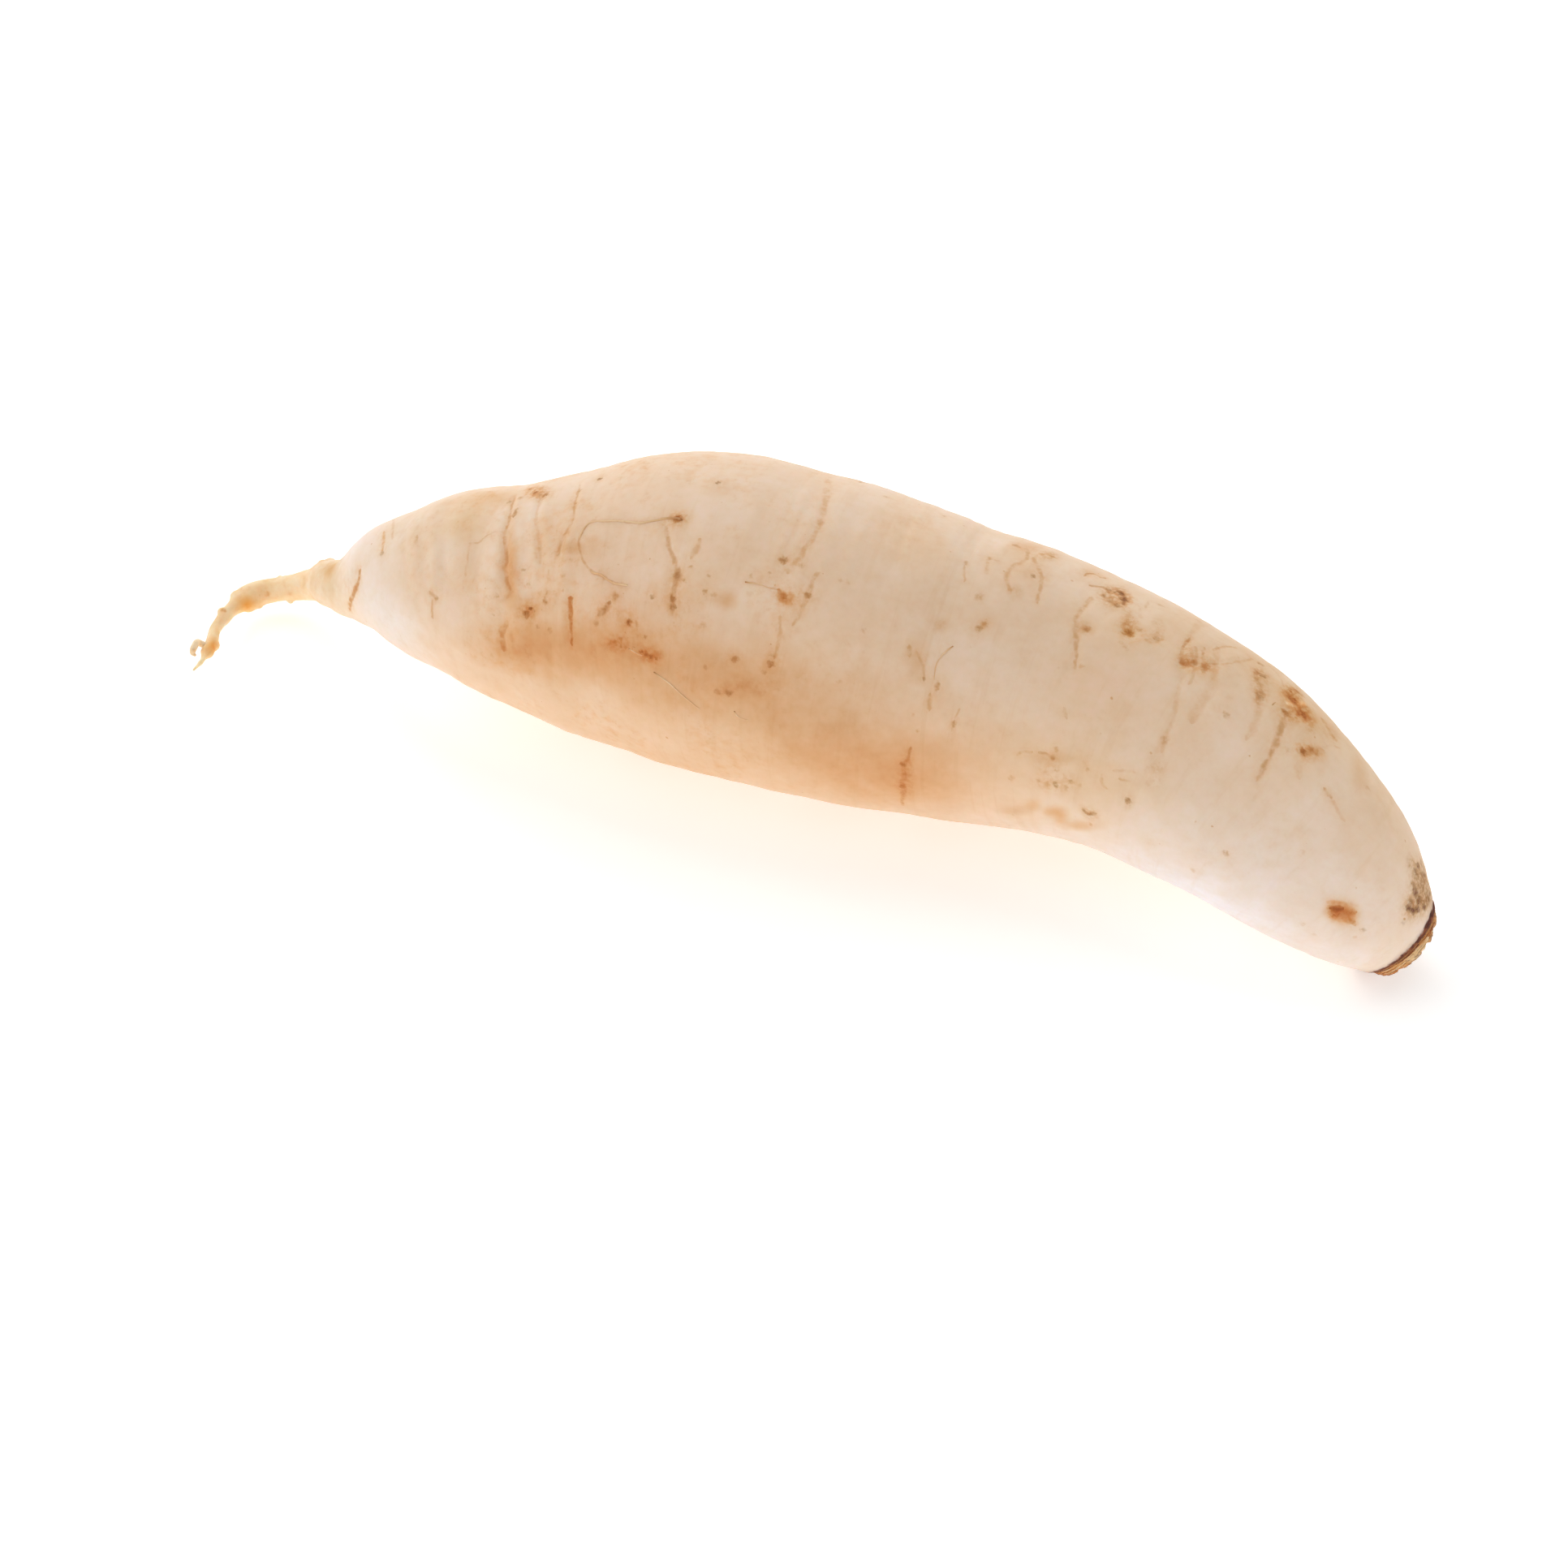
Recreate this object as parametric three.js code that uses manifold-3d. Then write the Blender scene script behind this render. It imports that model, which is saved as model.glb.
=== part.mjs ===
// White radish root (daikon), as lifted and trimmed: one grown taproot with its
// thin tail, and the cut-off leaf-stalk stubs that still stand on its crown.
//
// Frame: millimetres, +Z up, the root lies on its side on the plane z = 0.
// The long axis runs along X, tail at -X and crown at +X, and the origin is the
// bottom centre of the bounding box.

import * as THREE from 'three';
import { mergeVertices } from 'three/addons/utils/BufferGeometryUtils.js';
import Module from 'manifold-3d';

const wasm = await Module();
wasm.setup();

// ---------------------------------------------------------------- dimensions

// Centre line and radius of the grown root, from the tail tip to the crown:
// [x, y, z, radius].
const ROOT_STATIONS = [
  [-156.55, -25.52,  8.67,  0.25],
  [-156.54, -23.19,  8.00,  0.41],
  [-156.59, -20.70,  7.31,  0.62],
  [-157.00, -17.37,  6.64,  1.08],
  [-157.32, -14.22,  6.03,  1.62],
  [-157.77, -11.73,  5.68,  1.71],
  [-158.42,  -9.50,  5.52,  1.55],
  [-159.03,  -6.99,  5.42,  1.53],
  [-159.12,  -4.29,  5.30,  1.55],
  [-158.87,  -1.46,  5.32,  1.68],
  [-158.30,   0.94,  5.43,  1.81],
  [-157.54,   2.94,  5.61,  2.15],
  [-156.66,   4.68,  5.84,  2.81],
  [-155.64,   6.05,  5.99,  3.29],
  [-154.35,   7.35,  6.14,  3.38],
  [-152.82,   8.69,  6.48,  3.13],
  [-150.98,   9.81,  6.80,  3.00],
  [-149.02,  10.67,  7.16,  3.04],
  [-147.16,  11.22,  7.53,  3.21],
  [-144.79,  11.70,  8.14,  3.42],
  [-142.09,  12.00,  9.12,  3.63],
  [-139.47,  11.97, 10.19,  4.11],
  [-137.25,  11.80, 11.38,  4.75],
  [-134.90,  11.34, 12.67,  5.63],
  [-132.39,  10.43, 13.82,  6.20],
  [-129.79,   9.30, 15.00,  6.58],
  [-126.24,   7.61, 16.70,  7.56],
  [-122.70,   6.47, 18.93,  9.10],
  [-118.79,   5.58, 21.46, 11.30],
  [-113.29,   4.70, 24.76, 14.36],
  [-100.21,   2.67, 29.33, 20.28],
  [ -87.96,   2.01, 32.32, 24.70],
  [ -76.07,   1.31, 33.44, 27.56],
  [ -64.56,   1.58, 34.47, 31.00],
  [ -53.22,   2.31, 35.49, 34.28],
  [ -42.02,   3.35, 36.84, 37.25],
  [ -30.72,   3.74, 37.97, 38.99],
  [ -19.44,   3.62, 38.62, 39.72],
  [  -8.29,   3.09, 38.40, 39.49],
  [   2.72,   2.97, 38.17, 39.28],
  [  13.60,   2.80, 37.36, 38.47],
  [  24.37,   2.97, 36.55, 37.55],
  [  35.19,   2.83, 35.96, 36.07],
  [  46.14,   2.33, 36.35, 35.05],
  [  57.10,   0.94, 36.81, 33.65],
  [  67.97,  -1.14, 37.20, 32.24],
  [  78.72,  -3.69, 37.37, 31.12],
  [  89.18,  -6.82, 36.82, 30.05],
  [  99.38, -10.07, 35.69, 29.20],
  [ 109.19, -13.42, 33.71, 27.78],
  [ 118.52, -16.89, 30.64, 25.84],
  [ 127.50, -20.05, 26.64, 23.78],
  [ 136.22, -22.67, 21.72, 21.20],
  [ 144.64, -24.70, 15.63, 17.11],
  [ 152.43, -25.52,  9.07, 11.31],
];

// The small hooked side root near the end of the tail: [x, y, z, radius].
const PRONG_STATIONS = [
  [-157.62, -11.52,  5.82,  1.04],
  [-158.38, -12.23,  5.38,  0.92],
  [-158.69, -14.03,  6.61,  0.75],
  [-159.99, -14.05,  6.98,  0.69],
  [-159.95, -16.29,  8.55,  0.66],
  [-160.28, -17.32,  7.67,  0.56],
  [-158.54, -20.00,  8.56,  0.29],
];

// Knobs grown on the tail, where side roots broke off: [x, y, z, radius].
const TAIL_KNOBS = [
  [-154.89,   5.08,  4.84,  1.79],
  [-152.22,   6.22,  4.43,  0.72],
  [-144.68,   9.20,  5.73,  0.84],
  [-157.24, -12.03,  5.23,  1.59],
  [-157.94,   5.22,  6.74,  1.79],
  [-159.53,  -0.73,  6.21,  1.30],
  [-136.64,  14.10, 15.82,  1.57],
  [-134.86,  14.73, 15.90,  1.89],
  [-131.93,  13.88, 16.98,  1.78],
  [-148.71,  12.65,  9.35,  0.85],
];

const ROOT_COLUMNS = 34;         // facets around the root
const CROWN_DOME = 1.3;          // rise of the cut crown above its rim
const CROWN_RIM_ROUND = 0.45;    // how far the rim is rounded over
const STUB_GAP = 0.3;            // clearance between a stub and the crown

// Leaf-stalk stubs on the crown, in three whorls round a central bud. Angles
// are degrees round the crown axis from the uppermost point, towards -Y.
// [name, inner radius, outer radius, start angle, end angle, height]
const LEAF_STUBS = [
  ['outer_leaf_stub_1', 7.5, 9.9,  10,  60, 2.5],
  ['outer_leaf_stub_2', 7.4, 9.9,  82, 136, 3.2],
  ['outer_leaf_stub_3', 7.5, 9.8, 158, 206, 2.2],
  ['outer_leaf_stub_4', 7.4, 9.9, 228, 280, 3.0],
  ['outer_leaf_stub_5', 7.6, 9.9, 302, 348, 2.6],
  ['middle_leaf_stub_1', 4.6, 6.9,  38, 104, 4.9],
  ['middle_leaf_stub_2', 4.7, 6.9, 131, 196, 4.3],
  ['middle_leaf_stub_3', 4.6, 6.8, 223, 288, 4.9],
  ['middle_leaf_stub_4', 4.7, 6.9, 315, 371, 4.8],
  ['inner_leaf_stub_1', 2.3, 4.0,  18, 160, 5.3],
  ['inner_leaf_stub_2', 2.3, 4.0, 196, 342, 5.0],
];
const BUD_RADIUS = 1.6;
const BUD_HEIGHT = 4.6;

// ------------------------------------------------------------- colours, finish

const SKIN = new THREE.MeshStandardMaterial({ color: 0xeed9c3, roughness: 0.48, metalness: 0 });
const STUB = new THREE.MeshStandardMaterial({ color: 0xc79a63, roughness: 0.75, metalness: 0 });
const BUD = new THREE.MeshStandardMaterial({ color: 0xb58a52, roughness: 0.75, metalness: 0 });

// ------------------------------------------------------------------- geometry

// Natural cubic spline through values v at knots t.
function spline(t, v) {
  const n = t.length;
  const m = new Array(n).fill(0);
  const c = new Array(n).fill(0);
  const d = new Array(n).fill(0);
  for (let i = 1; i < n - 1; i++) {
    const h0 = t[i] - t[i - 1];
    const h1 = t[i + 1] - t[i];
    const w = 2 * (h0 + h1) - h0 * c[i - 1];
    c[i] = h1 / w;
    d[i] = (6 * ((v[i + 1] - v[i]) / h1 - (v[i] - v[i - 1]) / h0) - h0 * d[i - 1]) / w;
  }
  for (let i = n - 2; i > 0; i--) m[i] = d[i] - c[i] * m[i + 1];
  return (x) => {
    let i = 0;
    while (i < n - 2 && x > t[i + 1]) i++;
    const h = t[i + 1] - t[i];
    const a = (t[i + 1] - x) / h;
    const b = (x - t[i]) / h;
    return a * v[i] + b * v[i + 1] + ((a ** 3 - a) * m[i] + (b ** 3 - b) * m[i + 1]) * h * h / 6;
  };
}

// A centre line with its radius, and a frame that keeps "up" uppermost:
// angle 0 is the top of the section, and it turns towards `side`.
function centreLine(stations) {
  const t = [0];
  for (let i = 1; i < stations.length; i++) {
    const [a, b] = [stations[i - 1], stations[i]];
    t.push(t[i - 1] + Math.hypot(b[0] - a[0], b[1] - a[1], b[2] - a[2]));
  }
  const [x, y, z, r] = [0, 1, 2, 3].map((k) => spline(t, stations.map((p) => p[k])));
  const length = t[t.length - 1];
  const point = (s) => new THREE.Vector3(x(s), y(s), z(s));
  const frame = (s) => {
    const e = 0.05;
    const s0 = Math.max(0, s - e);
    const s1 = Math.min(length, s + e);
    const along = point(s1).sub(point(s0)).normalize();
    const up = new THREE.Vector3(0, 0, 1).addScaledVector(along, -along.z).normalize();
    const side = along.clone().cross(up);
    return { origin: point(s), along, up, side };
  };
  return { length, radius: r, frame };
}

// A closed body swept along a centre line. `rows` lists the sections between
// the two end points: { s, k, lift } with the share k of the radius and a lift
// along the axis. The sphere's rows and columns become sections and facets.
function sweep(line, rows, columns, tipLift, endLift, shape = () => 1) {
  const ball = new THREE.SphereGeometry(1, columns, rows.length + 1);
  const position = ball.attributes.position;
  const all = [{ s: 0, k: 0, lift: tipLift }, ...rows, { s: line.length, k: 0, lift: endLift }];
  for (let i = 0; i < all.length; i++) {
    const { s, k, lift } = all[i];
    const { origin, along, up, side } = line.frame(s);
    for (let j = 0; j <= columns; j++) {
      const angle = (j % columns) / columns * 2 * Math.PI;
      const rho = k * line.radius(s) * shape(s, angle);
      const p = origin.clone()
        .addScaledVector(along, lift)
        .addScaledVector(up, rho * Math.cos(angle))
        .addScaledVector(side, rho * Math.sin(angle));
      position.setXYZ(i * (columns + 1) + j, p.x, p.y, p.z);
    }
  }
  return ball;
}

// manifold-3d joins and cuts; these two carry a geometry there and back.
function toSolid(geometry) {
  const bare = geometry.clone();
  bare.deleteAttribute('normal');
  bare.deleteAttribute('uv');
  const merged = mergeVertices(bare, 1e-5);
  const vertProperties = new Float32Array(merged.attributes.position.array);
  const source = merged.index.array;
  const tris = [];
  for (let i = 0; i < source.length; i += 3) {
    const [a, b, c] = [source[i], source[i + 1], source[i + 2]];
    if (a !== b && b !== c && c !== a) tris.push(a, b, c);
  }
  let volume = 0;
  const v = (i) => new THREE.Vector3().fromArray(vertProperties, i * 3);
  for (let i = 0; i < tris.length; i += 3) {
    volume += v(tris[i]).dot(v(tris[i + 1]).cross(v(tris[i + 2])));
  }
  if (volume < 0) for (let i = 0; i < tris.length; i += 3) [tris[i], tris[i + 1]] = [tris[i + 1], tris[i]];
  const triVerts = new Uint32Array(tris);
  return new wasm.Manifold(new wasm.Mesh({ numProp: 3, vertProperties, triVerts }));
}

function toGeometry(solid) {
  const mesh = solid.getMesh();
  const geometry = new THREE.BufferGeometry();
  geometry.setAttribute('position', new THREE.BufferAttribute(mesh.vertProperties, 3));
  geometry.setIndex(new THREE.BufferAttribute(mesh.triVerts, 1));
  geometry.computeVertexNormals();
  return geometry;
}

// ------------------------------------------------------------------- taproot

const line = centreLine(ROOT_STATIONS);

// Slight departures from round that a grown root has.
function rootShape(s, angle) {
  const body = THREE.MathUtils.smoothstep(s, 55, 110);
  return 1 + body * (
    0.006 * Math.cos(2 * angle + 0.9 + s / 90)
    + 0.004 * Math.cos(3 * angle - s / 60)
  );
}

const rows = [];
for (let s = 0; s < 56; s += 2.4) rows.push({ s, k: 1, lift: 0 });
for (let s = 57; s < line.length - 44; s += 6.8) rows.push({ s, k: 1, lift: 0 });
const shoulder = line.length - 42;
for (let i = 0; i < 12; i++) {
  rows.push({ s: shoulder + 42 * (1 - (1 - i / 12) ** 1.4), k: 1, lift: 0 });
}
const rimRadius = line.radius(line.length);
rows.push({ s: line.length, k: 1, lift: 0 });
rows.push({ s: line.length, k: 1 - CROWN_RIM_ROUND / rimRadius, lift: CROWN_RIM_ROUND * 0.7 });
rows.push({ s: line.length, k: 0.62, lift: CROWN_DOME * 0.72 });
rows.push({ s: line.length, k: 0.3, lift: CROWN_DOME * 0.94 });

let taproot = toSolid(sweep(line, rows, ROOT_COLUMNS, -0.3, CROWN_DOME, rootShape));

const prong = centreLine(PRONG_STATIONS);
const prongRows = [];
for (let i = 0; i <= 12; i++) prongRows.push({ s: prong.length * i / 12, k: 1, lift: 0 });
taproot = taproot.add(toSolid(sweep(prong, prongRows, 8, -0.3, 0.2)));

for (const [x, y, z, radius] of TAIL_KNOBS) {
  const knob = new THREE.IcosahedronGeometry(radius, 1).translate(x, y, z);
  taproot = taproot.add(toSolid(knob));
}

// The belly is pressed flat where it rests on z = 0.
const ground = new THREE.BoxGeometry(420, 200, 40).translate(0, 0, -20);
taproot = taproot.subtract(toSolid(ground));

const part = new THREE.Group();

const taprootMesh = new THREE.Mesh(toGeometry(taproot), SKIN);
taprootMesh.name = 'taproot';
part.add(taprootMesh);

// --------------------------------------------------------------------- crown

// The stubs stand in the crown's own frame: X uppermost, Y to the side and Z
// out along the root's axis, with the rim of the crown at Z = 0.
const end = line.frame(line.length);
const crown = new THREE.Group();
crown.applyMatrix4(
  new THREE.Matrix4().makeBasis(end.up, end.side, end.along).setPosition(end.origin)
);
part.add(crown);

// Height of the domed crown above its rim at a radius.
function domeHeight(radius) {
  return CROWN_DOME * (1 - (radius / rimRadius) ** 2);
}

for (const [name, inner, outer, from, to, height] of LEAF_STUBS) {
  const a0 = THREE.MathUtils.degToRad(from);
  const a1 = THREE.MathUtils.degToRad(to);
  const mid = (inner + outer) / 2;
  const half = (outer - inner) / 2;
  const outline = new THREE.Shape();
  outline.absarc(0, 0, outer, a0, a1, false);
  const endCentre = [mid * Math.cos(a1), mid * Math.sin(a1)];
  outline.absarc(endCentre[0], endCentre[1], half, a1, a1 + Math.PI, false);
  outline.absarc(0, 0, inner, a1, a0, true);
  const startCentre = [mid * Math.cos(a0), mid * Math.sin(a0)];
  outline.absarc(startCentre[0], startCentre[1], half, a0 + Math.PI, a0 + 2 * Math.PI, false);
  const foot = domeHeight(inner) + STUB_GAP;
  const geometry = new THREE.ExtrudeGeometry(outline, {
    depth: height - foot, bevelEnabled: false, curveSegments: 4, steps: 1,
  });
  const mesh = new THREE.Mesh(geometry, STUB);
  mesh.name = name;
  mesh.position.z = foot;
  crown.add(mesh);
}

const budProfile = [
  new THREE.Vector2(0, 0),
  new THREE.Vector2(BUD_RADIUS * 0.9, 0),
  new THREE.Vector2(BUD_RADIUS, (BUD_HEIGHT - CROWN_DOME) * 0.4),
  new THREE.Vector2(BUD_RADIUS * 0.7, (BUD_HEIGHT - CROWN_DOME) * 0.75),
  new THREE.Vector2(0, BUD_HEIGHT - CROWN_DOME - STUB_GAP),
];
const bud = new THREE.Mesh(new THREE.LatheGeometry(budProfile, 14), BUD);
bud.name = 'central_bud';
bud.rotation.x = Math.PI / 2;
bud.position.z = CROWN_DOME + STUB_GAP;
crown.add(bud);

export default part;
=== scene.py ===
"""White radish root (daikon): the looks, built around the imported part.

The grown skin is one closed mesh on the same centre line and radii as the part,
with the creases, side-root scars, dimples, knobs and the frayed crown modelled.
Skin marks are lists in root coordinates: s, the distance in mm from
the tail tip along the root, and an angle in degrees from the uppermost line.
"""
import math

import bpy
import numpy as np
from mathutils import Matrix, Vector


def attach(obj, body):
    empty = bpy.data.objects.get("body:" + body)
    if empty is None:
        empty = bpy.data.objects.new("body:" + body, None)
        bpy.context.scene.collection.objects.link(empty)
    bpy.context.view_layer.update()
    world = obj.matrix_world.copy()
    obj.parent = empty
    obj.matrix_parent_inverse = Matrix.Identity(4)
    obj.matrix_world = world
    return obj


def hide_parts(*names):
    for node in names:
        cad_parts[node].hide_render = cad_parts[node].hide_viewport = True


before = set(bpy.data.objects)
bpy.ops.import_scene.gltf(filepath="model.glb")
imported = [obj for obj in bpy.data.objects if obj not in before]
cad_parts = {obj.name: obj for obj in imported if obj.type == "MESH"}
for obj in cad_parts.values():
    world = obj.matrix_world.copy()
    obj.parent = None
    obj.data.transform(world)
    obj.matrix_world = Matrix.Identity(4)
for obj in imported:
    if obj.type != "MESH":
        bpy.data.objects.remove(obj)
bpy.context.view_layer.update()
MM = 0.001

# ------------------------------------------------------------- root dimensions
# [x, y, z, radius] in mm, from the tail tip to the crown
ROOT_STATIONS = [
    [-156.55, -25.52, 8.67, 0.25], [-156.54, -23.19, 8.00, 0.41], [-156.59, -20.70, 7.31, 0.62], [-157.00, -17.37, 6.64, 1.08],
    [-157.32, -14.22, 6.03, 1.62], [-157.77, -11.73, 5.68, 1.71], [-158.42, -9.50, 5.52, 1.55], [-159.03, -6.99, 5.42, 1.53],
    [-159.12, -4.29, 5.30, 1.55], [-158.87, -1.46, 5.32, 1.68], [-158.30, 0.94, 5.43, 1.81], [-157.54, 2.94, 5.61, 2.15],
    [-156.66, 4.68, 5.84, 2.81], [-155.64, 6.05, 5.99, 3.29], [-154.35, 7.35, 6.14, 3.38], [-152.82, 8.69, 6.48, 3.13],
    [-150.98, 9.81, 6.80, 3.00], [-149.02, 10.67, 7.16, 3.04], [-147.16, 11.22, 7.53, 3.21], [-144.79, 11.70, 8.14, 3.42],
    [-142.09, 12.00, 9.12, 3.63], [-139.47, 11.97, 10.19, 4.11], [-137.25, 11.80, 11.38, 4.75], [-134.90, 11.34, 12.67, 5.63],
    [-132.39, 10.43, 13.82, 6.20], [-129.79, 9.30, 15.00, 6.58], [-126.24, 7.61, 16.70, 7.56], [-122.70, 6.47, 18.93, 9.10],
    [-118.79, 5.58, 21.46, 11.30], [-113.29, 4.70, 24.76, 14.36], [-100.21, 2.67, 29.33, 20.28], [-87.96, 2.01, 32.32, 24.70],
    [-76.07, 1.31, 33.44, 27.56], [-64.56, 1.58, 34.47, 31.00], [-53.22, 2.31, 35.49, 34.28], [-42.02, 3.35, 36.84, 37.25],
    [-30.72, 3.74, 37.97, 38.99], [-19.44, 3.62, 38.62, 39.72], [-8.29, 3.09, 38.40, 39.49], [2.72, 2.97, 38.17, 39.28],
    [13.60, 2.80, 37.36, 38.47], [24.37, 2.97, 36.55, 37.55], [35.19, 2.83, 35.96, 36.07], [46.14, 2.33, 36.35, 35.05],
    [57.10, 0.94, 36.81, 33.65], [67.97, -1.14, 37.20, 32.24], [78.72, -3.69, 37.37, 31.12], [89.18, -6.82, 36.82, 30.05],
    [99.38, -10.07, 35.69, 29.20], [109.19, -13.42, 33.71, 27.78], [118.52, -16.89, 30.64, 25.84], [127.50, -20.05, 26.64, 23.78],
    [136.22, -22.67, 21.72, 21.20], [144.64, -24.70, 15.63, 17.11], [152.43, -25.52, 9.07, 11.31],
]
PRONG_STATIONS = [
    [-157.62, -11.52, 5.82, 1.04], [-158.38, -12.23, 5.38, 0.92], [-158.69, -14.03, 6.61, 0.75], [-159.99, -14.05, 6.98, 0.69],
    [-159.95, -16.29, 8.55, 0.66], [-160.28, -17.32, 7.67, 0.56], [-158.54, -20.00, 8.56, 0.29],
]
TAIL_KNOBS = [
    [-154.89, 5.08, 4.84, 1.79], [-152.22, 6.22, 4.43, 0.72], [-144.68, 9.20, 5.73, 0.84], [-157.24, -12.03, 5.23, 1.59],
    [-157.94, 5.22, 6.74, 1.79], [-159.53, -0.73, 6.21, 1.30], [-136.64, 14.10, 15.82, 1.57], [-134.86, 14.73, 15.90, 1.89],
    [-131.93, 13.88, 16.98, 1.78], [-148.71, 12.65, 9.35, 0.85],
]
CROWN_DOME = 1.3
# [name, inner radius, outer radius, start angle, end angle, height]
LEAF_STUBS = [
    ['outer_leaf_stub_1', 7.5, 9.9,  10,  60, 2.5],
    ['outer_leaf_stub_2', 7.4, 9.9,  82, 136, 3.2],
    ['outer_leaf_stub_3', 7.5, 9.8, 158, 206, 2.2],
    ['outer_leaf_stub_4', 7.4, 9.9, 228, 280, 3.0],
    ['outer_leaf_stub_5', 7.6, 9.9, 302, 348, 2.6],
    ['middle_leaf_stub_1', 4.6, 6.9,  38, 104, 4.9],
    ['middle_leaf_stub_2', 4.7, 6.9, 131, 196, 4.3],
    ['middle_leaf_stub_3', 4.6, 6.8, 223, 288, 4.9],
    ['middle_leaf_stub_4', 4.7, 6.9, 315, 371, 4.8],
    ['inner_leaf_stub_1', 2.3, 4.0,  18, 160, 5.3],
    ['inner_leaf_stub_2', 2.3, 4.0, 196, 342, 5.0],
]

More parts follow.
